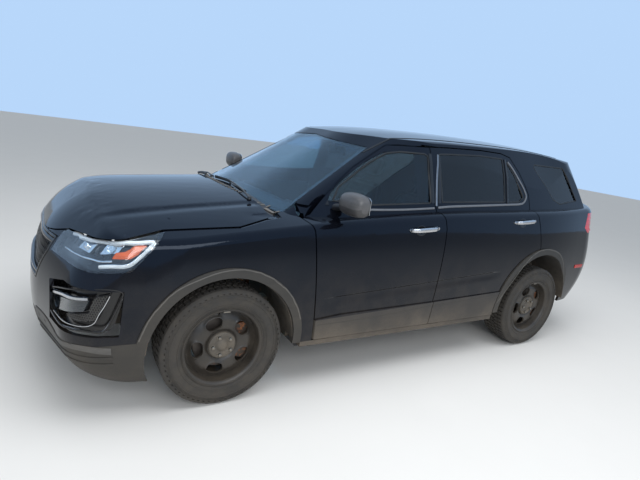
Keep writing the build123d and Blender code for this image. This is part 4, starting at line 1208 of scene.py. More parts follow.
def build_headlamps():
    tree = skin_tree("headlamps", "front_bumper", "left_fender", "hood")
    patch = skin_patch("headlamps", corner_out)
    pair("headlamp_lens_SIDE", between(patch, 0.0002, 0.0030), "lamp_lens", "body", sharp=60,
         replaces=("headlamps",))
    pair("headlamp_bowl_SIDE", between(patch, 0.044, 0.052), "lamp_housing", "body", sharp=60)
    for name, line, steps, width, height, lift, material in (
        ("top_strip", LAMP_TOP_LINE, 3, 0.021, 0.010, -0.020, "lamp_white"),
        ("side_strip", LAMP_SIDE_LINE, 3, 0.015, 0.009, -0.0195, "lamp_white"),
        ("top_strip_edge", LAMP_TOP_LINE, 3, 0.026, 0.004, -0.0235, "chrome"),
        ("side_strip_edge", LAMP_SIDE_LINE, 3, 0.020, 0.004, -0.0235, "chrome"),
        ("lower_strip", LOWER_STRIP, 5, 0.010, 0.006, -0.026, "chrome"),
    ):
        bar = skin_bar(on_corner, tree, smooth_path(line, steps), lift, width, height)
        pair(f"headlamp_{name}_SIDE", bar, material, "body", sharp=50)
    amber = corner_panel(tree, AMBER, -0.022, 0.006)
    pair("headlamp_amber_SIDE", amber, "amber_reflector", "body", sharp=50)
    for k, facet in enumerate((FACET_INNER, FACET_OUTER)):
        reflector = corner_panel(tree, facet, -0.034, 0.005, 6, 4)
        pair(f"headlamp_reflector_{k}_SIDE", reflector, "chrome", "body", sharp=50)
        middle = (sum(p[0] for p in facet) / 4, sum(p[1] for p in facet) / 4)
        barrel = seated(PROJECTOR, 32, *on_corner(tree, *middle, -0.036))
        pair(f"headlamp_projector_{k}_SIDE", barrel, "lamp_lens" if k else "chrome", "body", sharp=40)
    # The ribs moulded in the floor of the lamp
    ribs = Form()
    for k in range(9):
        turn = 12 + k * 4.6
        places, normals = laid(on_corner, tree, [(turn, 0.905), (turn + 0.2, 0.945)], -0.043)
        if len(places) == 2:
            ribs.join(strip(places, normals, 0.0025, 0.004))
    pair("headlamp_ribs_SIDE", ribs, "lamp_housing", "body")


# The left half of the grille's opening, as (y, height), from its lower corner up
GRILLE_EDGE = ((0.394, 0.646), (0.462, 0.820), (0.472, 0.893))
GRILLE_LOW, GRILLE_HIGH = 0.646, 0.893


def grille_half(z):
    """Half of the grille's width at a height."""
    low, _, high = GRILLE_EDGE
    return low[0] + (high[0] - low[0]) * min(1.0, max(0.0, (z - GRILLE_LOW) / 0.19))


def build_grille():
    nose = nose_tree()
    columns, rows = 48, 12
    grid = []
    for i in range(columns + 1):
        share = -1 + 2 * i / columns
        column = []
        for j in range(rows + 1):
            z = GRILLE_LOW + (GRILLE_HIGH - GRILLE_LOW) * j / rows
            place, normal = on_front(nose, share * (grille_half(z) - 0.004), z, -0.016)
            column.append((place, -normal))
        grid.append(column)
    mesh_tree()
    turn = facing(at(0.95, 0, 0.77), (1, 0, 0))
    comb = honeycomb(slab(grid, 0.001), turn, 0.027, 0.0030, 0.010, (1.02, 0.30), "gloss_black")
    piece("grille_mesh", comb, "gloss_black", "body", sharp=30, replaces=("grille",))
    back = slab([[(p + n * 0.022, n) for p, n in column] for column in grid], 0.004)
    piece("grille_backing", back, "black_plastic", "body")
    edge = list(GRILLE_EDGE) + [(-y, z) for y, z in reversed(GRILLE_EDGE)]
    path = even(edge + [edge[0]], 190)[:-1]
    path = [(y * 0.985, 0.769 + (z - 0.769) * 0.965) for y, z in path]
    piece("grille_frame", skin_bar(on_front, nose, path, -0.010, 0.016, 0.012, closed=True), "gloss_black",
          "body", sharp=50)
    for name, z, wide, tall in (
        ("grille_top_bar", 0.868, 0.026, 0.015), ("grille_low_bar", 0.672, 0.016, 0.013),
    ):
        limit = grille_half(z) - 0.01
        path = between_ends((-limit, z), (limit, z), 41)
        piece(name, skin_bar(on_front, nose, path, -0.014, wide, tall), "gloss_black", "body", sharp=50)


def nose_tree():
    """The nose's outer skin, carried smoothly across the grille's opening from the bars' faces."""
    skin, bars = skin_tree("front_bumper", "hood"), skin_tree("grille")
    columns, rows, half = 61, 40, 0.60
    verts = []
    for y, in between_ends((-half,), (half,), columns):
        samples = []
        for z in (0.60, 0.63, 0.656, 0.701, 0.745, 0.789, 0.833, 0.877, 0.912, 0.94):
            place, _ = on_front(skin, y, z)
            if place is None or place.x < at(0.6, 0, 0).x:
                place, _ = on_front(bars, y, z)
                place = place + Vector((0.008, 0, 0)) if place else None
            if place is not None:
                samples.append((place.x, y, z))
        verts += [Vector(p) for p in even(smooth_path(samples, 5), rows)]
    return grid_tree(verts, columns, rows)


FOG_LAMP = ((14.6, 0.612), (48.2, 0.686), (47.2, 0.628), (22.2, 0.563))
FOG_BAR = ((15.0, 0.634), (24.0, 0.655), (31.6, 0.671), (40.5, 0.683), (48.6, 0.697))
FOG_MESH = (
    (50.2, 0.706), (57.4, 0.720), (55.2, 0.650), (52.4, 0.583), (41.2, 0.566), (33.0, 0.582), (48.4, 0.622),
)
FOG_LINE_IN = (
    (58.2, 0.722), (56.2, 0.671), (53.9, 0.622), (52.3, 0.580), (48.6, 0.558), (41.3, 0.551), (32.6, 0.549),
    (22.5, 0.554),
)
FOG_LINE_OUT = (
    (63.6, 0.709), (61.4, 0.651), (58.7, 0.588), (56.0, 0.541), (51.8, 0.536), (47.7, 0.535), (41.3, 0.537),
    (33.6, 0.527),
)
FOG_RIM = (
    (11.5, 0.612), (15.6, 0.655), (30.0, 0.700), (49.4, 0.747), (58.2, 0.756), (63.2, 0.743), (63.2, 0.710),
    (60.0, 0.618), (56.3, 0.538), (48.0, 0.536), (33.6, 0.527), (18.6, 0.550),
)
FOG_POCKET = ((9.0, 0.600), (15.0, 0.700), (48.0, 0.762), (66.0, 0.765), (60.0, 0.525), (18.0, 0.515))
SKID_TOP = (
    (-5, 0.470), (9.1, 0.480), (20.6, 0.466), (30.4, 0.438), (40, 0.450), (46.9, 0.456), (53.7, 0.452),
    (59.5, 0.444),
)
SKID_LOW = (
    (59.5, 0.406), (55.8, 0.412), (47.3, 0.424), (39.3, 0.420), (30.0, 0.405), (20.0, 0.408), (8.0, 0.418),
    (-5, 0.416),
)


def build_fog_lamps():
    shell = bridged_corner(skin_tree("front_bumper", "fog_lamps", "front_valance"))
    for name, line, width, height, lift, material in (
        ("fog_pocket_rim", FOG_RIM, 0.009, 0.008, -0.004, "gloss_black"),
        ("fog_lamp_bar", FOG_BAR, 0.019, 0.016, -0.014, "bright_trim"),
        ("fog_line_inner", FOG_LINE_IN, 0.005, 0.008, -0.010, "bright_trim"),
        ("fog_line_outer", FOG_LINE_OUT, 0.0045, 0.006, -0.005, "worn_trim"),
    ):
        round_rim = line is FOG_RIM
        path = smooth_path(line, 4, round_rim)
        bar = skin_bar(on_corner, shell, path, lift, width, height, closed=round_rim)
        pair(f"{name}_SIDE", bar, material, "body", sharp=50)
    for name, outline, lift, thick, columns, rows, material, settings in (
        ("fog_lamp_lens", FOG_LAMP, -0.016, 0.004, 16, 6, "lamp_lens", {"sharp": 50}),
        ("fog_lamp_block", FOG_LAMP, -0.0235, 0.028, 16, 6, "lamp_housing", {"sharp": 50}),
        ("fog_mesh_backing", FOG_MESH, -0.034, 0.003, 16, 8, "black_plastic", {}),
        ("fog_pocket", FOG_POCKET, -0.046, 0.004, 24, 10, "gloss_black",
         {"sharp": 50, "replaces": ("fog_lamps",)}),
    ):
        panel = corner_panel(shell, outline, lift, thick, columns, rows)
        pair(f"{name}_SIDE", panel, material, "body", **settings)
    turn = facing(*on_corner(shell, 50.0, 0.63))
    panel = corner_panel(shell, FOG_MESH, -0.018, 0.001, 16, 8)
    comb = honeycomb(panel, turn, 0.0125, 0.0017, 0.006, (0.40, 0.26), "valance_plastic")
    pair("fog_mesh_SIDE", comb, "valance_plastic", "body", sharp=30)


def bridged_corner(tree):
    """The corner's outer skin with the fog pocket bridged."""
    verts, rows, columns = [], 34, 0
    for turn, in between_ends((-6,), (78,), 64):
        found = [on_corner(tree, turn, z)[0] for z in (0.44, 0.47, 0.50, 0.78, 0.81, 0.84)]
        samples = [tuple(place) for place in found if place is not None]
        if len(samples) > 2:
            verts += [Vector(p) for p in even(smooth_path(samples, 8), rows)]
            columns += 1
    return grid_tree(verts, columns, rows)


def build_valance():
    tree = skin_tree("front_valance", "front_bumper")
    rows = 7
    top = even(smooth_path(SKID_TOP, 5), 61)
    low = even(smooth_path(list(reversed(SKID_LOW)), 5), 61)
    grid = []
    for a, b in zip(top, low):
        found = [on_corner(tree, *spot, 0.0035) for spot in between_ends(a, b, rows)]
        if all(place is not None for place, _ in found):
            grid.append([(place, -normal) for place, normal in found])
    pair("skid_plate_SIDE", slab(grid, 0.003), "valance_plastic", "body", sharp=45)
    for k, z in enumerate((0.385, 0.345)):
        rib = skin_bar(on_corner, tree, between_ends((-6, z), (60, z), 41), 0.0, 0.012, 0.005)
        pair(f"valance_rib_{k}_SIDE", rib, "moulding_plastic", "body", sharp=50)


# The sides' trims, mirrors and handles

BELT_FRONT = ((-0.735, 1.186), (-0.95, 1.184), (-1.203, 1.192), (-1.36, 1.201), (-1.522, 1.212))
BELT_REAR = (
    (-1.560, 1.217), (-1.684, 1.228), (-1.953, 1.243), (-2.341, 1.264), (-2.500, 1.274), (-2.555, 1.290),
    (-2.585, 1.322), (-2.588, 1.350), (-2.560, 1.398), (-2.505, 1.465), (-2.445, 1.540), (-2.385, 1.596),
)
SEAL_FRONT = (
    (-0.695, 1.217), (-1.000, 1.212), (-1.494, 1.241), (-1.489, 1.568), (-1.463, 1.581), (-1.272, 1.574),
    (-1.161, 1.550), (-1.002, 1.464), (-0.755, 1.300),
)
SEAL_REAR = (
    (-1.610, 1.252), (-2.320, 1.280), (-2.325, 1.616), (-2.060, 1.619), (-1.720, 1.600), (-1.594, 1.590),
)
SEAL_QUARTER = ((-2.352, 1.282), (-2.500, 1.288), (-2.552, 1.324), (-2.459, 1.492), (-2.370, 1.600))
SEAL_CARGO = (
    (-2.764, 1.604), (-2.747, 1.573), (-3.000, 1.322), (-3.110, 1.287), (-3.396, 1.324), (-3.187, 1.604),
)

# Upright strips and covers on the window pillars, as (station, height)
PILLAR_STRIP = ((-1.546, 1.228), (-1.553, 1.34), (-1.563, 1.455), (-1.583, 1.585))
FRONT_COVER = ((-1.513, 1.246), (-1.508, 1.40), (-1.503, 1.585))
REAR_COVER = ((-1.578, 1.248), (-1.583, 1.42), (-1.592, 1.585))
WINDOW_BAR = ((-2.338, 1.272), (-2.342, 1.40), (-2.345, 1.50), (-2.347, 1.612))
FRONT_CLADDING = ((-0.600, 0.450), (-0.900, 0.455), (-1.192, 0.470), (-1.570, 0.494))
REAR_CLADDING = ((-1.610, 0.495), (-1.80, 0.503), (-2.000, 0.511), (-2.270, 0.520))


def closed_run(points, spacing=0.02):
    """A closed outline as evenly spaced points."""
    loop = list(points) + [points[0]]
    length = sum(hypot(b[0] - a[0], b[1] - a[1]) for a, b in zip(loop, loop[1:]))
    return even(loop, max(12, int(length / spacing)))[:-1]


def build_side_trims():
    skin = skin_tree("front_left_door_glass", "rear_left_door_glass", "cargo_side_glass", "front_left_door",
                     "rear_left_door", "left_body_side")
    front, rear = "front_SIDE_door_body", "rear_SIDE_door_body"
    for name, outline, body in (
        ("front_window_seal", SEAL_FRONT, front), ("rear_window_seal", SEAL_REAR, rear),
        ("rear_quarter_seal", SEAL_QUARTER, rear), ("cargo_window_seal", SEAL_CARGO, "body"),
    ):
        middle = [sum(p[k] for p in outline) / len(outline) for k in (0, 1)]
        inset = [(x + (middle[0] - x) * 0.008, z + (middle[1] - z) * 0.012) for x, z in outline]
        seal = skin_bar(on_side, skin, closed_run(inset), 0.0002, 0.013, 0.0045, closed=True)
        pair(f"{name}_SIDE", seal, "rubber_seal", body, sharp=50)
    for name, line, width, height, material, body in (
        ("front_belt_strip", BELT_FRONT, 0.014, 0.0055, "belt_trim", front),
        ("rear_belt_strip", BELT_REAR, 0.016, 0.0055, "belt_trim", rear),
        ("pillar_strip", PILLAR_STRIP, 0.016, 0.004, "worn_trim", rear),
        ("front_pillar_cover", FRONT_COVER, 0.030, 0.0035, "gloss_black", front),
        ("rear_pillar_cover", REAR_COVER, 0.026, 0.003, "gloss_black", rear),
        ("window_bar", WINDOW_BAR, 0.020, 0.006, "gloss_black", rear),
    ):
        bar = skin_bar(on_side, skin, smooth_path(line, 6), 0.0, width, height)
        pair(f"{name}_SIDE", bar, material, body, sharp=50)
    # A gutter strip in the ditch between the roof and the side
    ditch = between_ends((-1.02, 0.592), (-3.24, 0.592), 61)
    gutter = skin_bar(on_top, skin_tree("roof", "left_body_side"), ditch, 0.0, 0.014, 0.003)
    pair("roof_ditch_strip_SIDE", gutter, "rubber_seal", "body", sharp=50)
    # The lips along the top of the doors' matt bands
    side = skin_tree("front_left_door", "rear_left_door", "left_body_side")
    for name, line, body in (("front", FRONT_CLADDING, front), ("rear", REAR_CLADDING, rear)):
        lip = skin_bar(on_side, side, smooth_path(line, 8), -0.0005, 0.010, 0.0035, ROUND_BAR)
        pair(f"{name}_cladding_lip_SIDE", lip, "moulding_plastic", body, sharp=60)


def handle_at(skin, x0, x1, z0, z1, body, name):
    """A pull handle: a bowed bar with two feet, and a smooth round gloss black plate behind its grip that
    paints the shade in the handle's cup.
    """
    def along(share):
        return x0 + (x1 - x0) * share, z0 + (z1 - z0) * share
    rings = []
    for k in range(21):
        t = k / 20
        place, normal = on_side(skin, *along(t))
        swell = sin(pi * t)
        centre = place + normal * (0.006 + 0.030 * min(1.0, swell * 1.7))
        up, out = Vector((0, 0, 0.0125 + 0.0035 * swell)), normal * (0.0055 + 0.001 * swell)
        section = [squared(a, 0.8, 0.7) for a in turns(14)]
        rings.append([centre + up * s + out * c for c, s in section])
    pair(f"{name}_bar_SIDE", tube_of(rings), "handle_silver", body, sharp=60)
    feet = Form()
    for share, wide in ((0.05, 0.020), (0.94, 0.017)):
        place, normal = on_side(skin, *along(share))
        foot = []
        for lift, grow in ((-0.002, 1.15), (0.004, 1.0), (0.018, 0.86)):
            foot.append([place + normal * lift + Vector((wide * grow * cos(a), 0, 0.0135 * grow * sin(a)))
                         for a in turns(16)])
        feet.join(tube_of(foot))
    pair(f"{name}_feet_SIDE", feet, "handle_silver", body, sharp=50)
    # The plate behind the grip stands proud of the skin; its gloss black is painted shade and reflection of
    # the hollow cup
    x, z = along(0.38)
    z -= 0.006
    rings = []
    for reach, lift in ((1.0, 0.0006), (0.94, 0.0016), (0.86, 0.0012), (0.6, 0.0010), (0.2, 0.0008)):
        rings.append([on_side(skin, x + 0.047 * reach * cos(a), z + 0.036 * reach * sin(a), lift)[0]
                      for a in turns(32)])
    _, normal = on_side(skin, x, z)
    foot = [place - normal * 0.003 for place in rings[0]]
    pair(f"{name}_recess_SIDE", tube_of([foot] + rings), "gloss_black", body, sharp=60)


def build_handles():
    skin = skin_tree("front_left_door", "rear_left_door")
    handle_at(skin, -1.250, -1.502, 1.070, 1.087, "front_SIDE_door_body", "front_handle")
    handle_at(skin, -2.360, -2.602, 1.138, 1.154, "rear_SIDE_door_body", "rear_handle")


MIRROR_ROWS = (
    # y, x of the middle, z of the middle, half length, half height
    (0.928, -0.697, 1.236, 0.020, 0.026), (0.932, -0.697, 1.237, 0.040, 0.048),
    (0.945, -0.698, 1.240, 0.052, 0.060), (0.975, -0.699, 1.243, 0.059, 0.068),
    (1.020, -0.700, 1.245, 0.062, 0.0715), (1.070, -0.701, 1.245, 0.061, 0.0705),
    (1.110, -0.703, 1.244, 0.056, 0.065), (1.132, -0.705, 1.243, 0.046, 0.054),
    (1.142, -0.707, 1.242, 0.030, 0.036),
)

# Where the mirror's cap meets its base, and how flat its glass side is
MIRROR_SPLIT, MIRROR_FLAT = 1.222, 0.86


def mirror_shell():
    """The mirror's shell, its faces marked as cap or base."""
    rings = []
    for y, x, z, long, tall in MIRROR_ROWS:
        section = [squared(a, 0.72) for a in turns(40)]
        rings.append([at(x + c * long * (MIRROR_FLAT if c < 0 else 1), y, z + s * tall) for c, s in section])
    form = tube_of(rings)
    for index, face in enumerate(form.faces):
        middle = sum((form.verts[i] for i in face), Vector()) / len(face)
        form.marks[index] = 0 if middle.z > MIRROR_SPLIT + (middle.y - 1.0) * 0.04 else 1
    return form


def build_mirrors():
    door = "front_SIDE_door_body"
    pair("SIDE_mirror_shell", mirror_shell(), ("weathered_cap", "weathered_base"), door, sharp=60,
         subdivide=1,
         replaces=("SIDE_mirror",))
    glass = []
    for y, x, z, long, tall in MIRROR_ROWS[2:-1]:
        back = x - long * MIRROR_FLAT - 0.0025
        glass.append([(at(back, y, z + t * (tall - 0.012)), Vector((1, 0, 0)))
                      for t in (-1, -0.75, -0.4, 0, 0.4, 0.75, 1)])
    pair("SIDE_mirror_glass", slab(glass, 0.003), "mirror_silver", door, sharp=40)
    foot = []
    for k in range(9):
        u = k / 8
        centre = at(-0.706 + 0.004 * u, 0.845 + 0.105 * u, 1.188 + 0.022 * u)
        wide, tall = 0.040 - 0.010 * u, 0.024 - 0.004 * u
        section = [squared(a, 0.8) for a in turns(20)]
        foot.append([centre + Vector((wide * c, 0, tall * s)) for c, s in section])
    pair("SIDE_mirror_foot", tube_of(foot), "black_plastic", door, sharp=50)
    # The sail: the small triangular cover ahead of the front window
    skin = skin_tree("front_left_door", "left_body_side")
    outline = ((-0.640, 1.192), (-0.700, 1.262), (-0.742, 1.296), (-0.755, 1.250), (-0.750, 1.192))
    sail = corner_panel(skin, outline, 0.004, 0.006, 10, 5, find=on_side)
    pair("SIDE_mirror_sail", sail, "gloss_black", door, sharp=50)


def glass_rim(node, outward):
    """The outer face of a pane as a tree, and even places round its border."""
    work = bmesh.new()
    work.from_mesh(NODES[node].data)
    bmesh.ops.remove_doubles(work, verts=work.verts, dist=MERGE)
    gone = [f for f in work.faces if f.normal.dot(outward) < 0.4]
    bmesh.ops.delete(work, geom=gone, context="FACES")
    tree = BVHTree.FromBMesh(work)
    first = next(e for e in work.edges if e.is_boundary)
    loop, used = [first.verts[0], first.verts[1]], {first}
    while True:
        ahead = [e for e in loop[-1].link_edges if e.is_boundary and e not in used]
        if not ahead:
            break
        used.add(ahead[0])
        loop.append(ahead[0].other_vert(loop[-1]))
    points = [Vector(p) for p in even([tuple(v.co) for v in loop], 140)[:-1]]
    work.free()
    return tree, points


# Windshield, wipers, cowl and roof

def build_glass_edges():
    """The dark printed borders inside the windshield and the tailgate's window."""
    for name, node, way, body, inset in (
        ("windshield_border", "windshield", (1, 0, 0.6), "body", 0.035),
        ("liftgate_glass_border", "liftgate_glass", (-1, 0, 0.3), "liftgate_body", 0.025),
    ):
        outward = Vector(way).normalized()
        tree, points = glass_rim(node, outward)
        middle = sum(points, Vector()) / len(points)
        rings = []
        for i, p in enumerate(points):
            along = (points[(i + 2) % len(points)] - points[i - 2]).normalized()
            _, normal, _, _ = tree.find_nearest(p)
            inward = normal.cross(along).normalized()
            if inward.dot(middle - p) < 0:
                inward = -inward
            inner = []
            for share in (0.002, 0.5, 1.0):
                spot, face_normal, _, _ = tree.find_nearest(p + inward * inset * share)
                inner.append(spot - face_normal * 0.0065)
            rings.append(inner + [q - outward * 0.0008 for q in reversed(inner)])
        piece(name, tube_of(rings, closed=True), "glass_print", body, sharp=60)


# Each wiper's pivot and its blade's line, as (station, y)
WIPERS = (
    ((-0.245, 0.520), ((-0.205, -0.060), (-0.235, 0.060), (-0.262, 0.200), (-0.292, 0.335))),
    ((-0.200, -0.120), ((-0.262, -0.680), (-0.232, -0.520), (-0.208, -0.380), (-0.190, -0.230))),
)


def build_wipers():
    glass = skin_tree("windshield", "cowl", "hood")
    arms, blades, caps = Form(), Form(), Form()
    for pivot, blade in WIPERS:
        path = smooth_path(blade, 8)
        places, normals = laid(on_top, glass, path, 0.012)
        blades.join(strip(places, normals, 0.011, 0.012))
        blades.join(skin_bar(on_top, glass, path, 0.004, 0.004, 0.010))
        middle = places[len(places) // 2]
        start, normal = on_top(glass, *pivot, 0.012)
        lift = Vector((0, 0, 0.012))
        arms.join(hose([start, start.lerp(middle, 0.35) + lift * 1.2, start.lerp(middle, 0.7) + lift,
                        middle + lift * 0.7], 0.0055, 8))
        caps.join(seated(((0.0, 0.016), (0.010, 0.015), (0.014, 0.009), (0.016, 0.0), (0.0, 0.0)), 20,
                         start - normal * 0.008, normal))
    piece("wiper_blades", blades, "rubber_seal", "body", sharp=45)
    piece("wiper_arms", arms, "blade_steel", "body", sharp=45)
    piece("wiper_caps", caps, "black_plastic", "body", sharp=45)


def build_cowl():
    """Louvres across the cowl, and its pale end pieces."""
    tree = skin_tree("cowl", "windshield", "hood")
    slats = Form()
    for y, in between_ends((-0.60,), (0.60,), 33):
        base = -0.150 - 0.26 * (abs(y) / 0.73) ** 2.2
        places, normals = laid(on_top, tree, [(base - 0.012, y), (base - 0.040, y * 0.998)])
        if len(places) == 2:
            slats.join(strip(places, normals, 0.010, 0.004))
    piece("cowl_louvres", slats, "cowl_plastic", "body", sharp=40)
    skin = skin_tree("left_fender", "left_body_side", "hood", "cowl", "windshield")
    path = smooth_path(((-0.312, 0.630), (-0.332, 0.685), (-0.356, 0.738)), 6)
    pair("cowl_end_SIDE", skin_bar(on_top, skin, path, 0.001, 0.020, 0.007), "cowl_plastic", "body", sharp=50)


# The antenna fin's front and length, and the height that nothing on the roof may pass
FIN_FRONT, FIN_LENGTH, ROOF_LIMIT = -2.960, 0.165, 1.7435


def build_roof_items():
    roof = skin_tree("roof")
    fin = []
    for k in range(11):
        t = k / 10
        tall = 0.001 + 0.040 * (sin(pi * min(1, t * 0.86 + 0.02)) ** 0.9) * (0.35 + 0.65 * t)
        wide = 0.024 * (sin(pi * (0.08 + 0.86 * t)) ** 0.6)
        spot, _ = on_top(roof, FIN_FRONT - FIN_LENGTH * t, 0.0)
        tall = min(tall, ROOF_LIMIT - spot.z)
        fin.append([spot + Vector((0, wide * cos(a), tall * max(0.0, sin(a)) - 0.002 * (sin(a) < 0)))
                    for a in (pi * m / 8 for m in range(9))])
    piece("roof_antenna", tube_of(fin), "black_paint", "body", sharp=50)


# The number plate's outer face as a station, and its rear frame's bars (y from, y to, z from, z to)
PLATE_FACE = -3.9905
PLATE_FRAME = (
    (-0.160, 0.160, 0.926, 0.936), (-0.160, 0.160, 1.084, 1.094), (-0.162, -0.151, 0.926, 1.094),
    (0.151, 0.162, 0.926, 1.094),
)


def tail_out(place):
    """Which way the rear corner's skin looks, seen from the upright line inside it."""
    return Vector((place.x - FRONT_AXLE_X - REAR_CORNER[0], place.y - REAR_CORNER[1], 0.0)).normalized()


def build_plate():
    """The blank number plate, its frame and its two screws."""
    x = PLATE_FACE + FRONT_AXLE_X
    piece("number_plate_blank", block(x - 0.0015, x + 0.001, -0.1525, 0.1525, 0.934, 1.086), "plate_white",
          "liftgate_body", bevel=0.0006)
    surround = Form()
    for bar in PLATE_FRAME:
        surround.join(block(x - 0.0025, x + 0.002, *bar))
    piece("plate_frame", surround, "black_plastic", "liftgate_body", bevel=0.0006)
    screws = Form()
    for y in (-0.0889, 0.0889):
        screws.join(seated(((0.0, 0.0035), (0.004, 0.0032), (0.0062, 0.0018), (0.0065, 0.0), (0.0, 0.0)), 20,
                           Vector((x - 0.0015, y, 1.010)), (-1, 0, 0)))
    piece("plate_screws", screws, "bright_trim", "liftgate_body", sharp=40)


# Rear

LAMP_BAR_DEPTH = 0.014


def on_lamp(place):
    """Whether a place on the skin lies on a tail lamp."""
    return 0.664 < place.y < 0.99 and place.x < at(-3.57, 0, 0).x


def build_tail():
    tree = skin_tree("tail_lamps", "left_body_side", "liftgate", "rear_bumper")
    patch = skin_patch("tail_lamps", tail_out)
    pair("tail_lamp_lens_SIDE", between(patch, 0.0002, 0.0032), "red_lens", "body", sharp=60,
         replaces=("tail_lamps",))
    pair("tail_lamp_bowl_SIDE", between(patch, 0.036, 0.044), "lamp_housing", "body", sharp=60)
    for k, (z, tall) in enumerate(((1.196, 0.014), (1.150, 0.030), (1.082, 0.020))):
        found = [on_rear_corner(tree, turn, z, -LAMP_BAR_DEPTH) for turn in spaced(-62, 38, 25)]
        found = [(place, normal) for place, normal in found if place is not None]
        found = [(place, normal) for place, normal in found if on_lamp(place + normal * LAMP_BAR_DEPTH)]
        if len(found) > 3:
            bar = strip([place for place, _ in found], [normal for _, normal in found], tall, 0.006)
            colour = "lamp_white" if k == 1 else "red_reflector"
            pair(f"tail_lamp_bar_{k}_SIDE", bar, colour, "body", sharp=50)
    bumper = skin_tree("rear_bumper", "left_body_side")
    path = between_ends((-3.460, 0.716), (-3.620, 0.712), 9)
    pair("bumper_reflector_SIDE", skin_bar(on_side, bumper, path, 0.0, 0.032, 0.004), "red_reflector", "body",
         sharp=50)
    build_plate()
    gate, hatch = skin_tree("liftgate", "liftgate_glass"), "liftgate_body"
    for name, half, z, count, tall, deep, material in (
        ("liftgate_trim_bar", 0.33, 1.235, 25, 0.040, 0.012, "gloss_black"),
        ("liftgate_handle_lip", 0.070, 1.206, 9, 0.014, 0.010, "black_plastic"),
        ("high_stop_lamp", 0.50, 1.648, 31, 0.016, 0.006, "red_reflector"),
    ):
        path = between_ends((-half, z), (half, z), count)
        piece(name, skin_bar(on_rear, gate, path, 0.0, tall, deep), material, hatch, sharp=50)
    path = smooth_path(((0.00, 1.285), (0.16, 1.300), (0.34, 1.322), (0.42, 1.336)), 6)
    places, normals = laid(on_rear, gate, path, 0.006)
    piece("rear_wiper_blade", strip(places, normals, 0.010, 0.012), "rubber_seal", hatch, sharp=50)
    place, normal = on_rear(gate, 0.0, 1.262)
    hub = seated(((0.0, 0.020), (0.016, 0.018), (0.022, 0.010), (0.024, 0.0), (0.0, 0.0)), 28, place, normal)
    piece("rear_wiper_hub", hub, "black_plastic", hatch, sharp=45)
    arm = hose([place + normal * 0.015, places[len(places) // 3] + normals[0] * 0.016,
                places[len(places) // 2] + normals[0] * 0.014], 0.006, 8)
    piece("rear_wiper_arm", arm, "blade_steel", hatch, sharp=45)
    skin = skin_tree("rear_bumper")
    for name, z, tall in (("rear_bumper_step", 0.700, 0.030), ("rear_bumper_skirt", 0.470, 0.080)):
        path = between_ends((-0.74, z), (0.74, z), 51)
        piece(name, skin_bar(on_rear, skin, path, -0.0052, tall, 0.006), "moulding_plastic", "body", sharp=50)


# Cabin

def pad_form(length, width, thick, power=0.42, bulge=0.0, rows=14, count=56):
    """A crowned cushion about its centre: long in X, wide in Y, its sides pulled in between corners."""
    rings = []
    for u in spaced(-1, 1, rows + 1):
        shrink = max(0.16, (1 - min(1, abs(u)) ** 3.2) ** 0.42)
        ring_now = []
        for a in turns(count):
            c, s = squared(a, power, 0.62)
            y = c * width / 2 * (0.55 + 0.45 * shrink)
            z = s * thick / 2 * shrink + bulge * (abs(y) / (width / 2)) ** 3 * (1 if s > 0 else 0.2)
            pull = 1 - 0.035 * (1 - abs(cos(a)) ** 2) * (1 - u * u)
            x = u * length / 2 * (1 - 0.02 * (1 - (y / (width / 2)) ** 2))
            ring_now.append(Vector((x, y * pull, z)))
        rings.append(ring_now)
    return tube_of(rings)


CLOTH_FRAMES = 20


def blown_up(item, pressure, cap):
    """Fills an object's mesh as cloth to a pressure, and holds every point within a cap of its start."""
    start = [v.co.copy() for v in item.data.vertices]
    cloth = item.modifiers.new("stuffing", "CLOTH")
    settings = cloth.settings
    settings.quality = 5
    settings.mass = 0.35
    settings.tension_stiffness = settings.compression_stiffness = 22
    settings.shear_stiffness, settings.bending_stiffness = 12, 2.0
    settings.use_pressure = True
    settings.uniform_pressure_force = pressure
    settings.effector_weights.gravity = 0
    cloth.collision_settings.use_collision = False
    cloth.point_cache.frame_start, cloth.point_cache.frame_end = 1, CLOTH_FRAMES
    for number in range(1, CLOTH_FRAMES + 1):
        bpy.context.scene.frame_set(number)
    blown = baked(item)
    item.modifiers.clear()
    item.data = blown
    for vertex, first in zip(blown.vertices, start):
        move = vertex.co - first
        if move.length > cap:
            vertex.co = first + move.normalized() * cap
    bpy.context.scene.frame_set(1)


def stuffed(name, form, voxel, cap, pressure=4.0):
    """A cushion's mesh, evened out, blown up as cloth and smoothed."""
    mesh = form.mesh(name)
    work = bmesh.new()
    work.from_mesh(mesh)
    bmesh.ops.remove_doubles(work, verts=work.verts, dist=0.0001)
    bmesh.ops.recalc_face_normals(work, faces=work.faces)
    work.to_mesh(mesh)
    work.free()
    item = placed(name, mesh)
    remesh = item.modifiers.new("even", "REMESH")
    remesh.mode, remesh.voxel_size = "VOXEL", voxel
    even_mesh = baked(item)
    item.modifiers.clear()
    item.data = even_mesh
    blown_up(item, pressure, cap)
    subdivide = item.modifiers.new("smooth", "SUBSURF")
    subdivide.levels = subdivide.render_levels = 1
    done = baked(item)
    bpy.data.objects.remove(item)
    return done


def sew(mesh, half_width, crossings, depth=0.009, width=0.013, inside=True):
    """Presses sewn channels into a cushion's face: two lengthways, and one across at each crossing."""
    normals = [v.normal.copy() for v in mesh.vertices]
    for vertex, normal in zip(mesh.vertices, normals):
        if normal.z <= 0.2:
            continue
        x, y = vertex.co.x, abs(vertex.co.y)
        aways = [abs(y - half) for half in half_width]
        if not inside or y < half_width[0]:
            aways += [abs(x - crossing) for crossing in crossings]
        away = min(aways)
        if away < width:
            vertex.co -= normal * ((0.5 + 0.5 * cos(pi * away / width)) * depth)


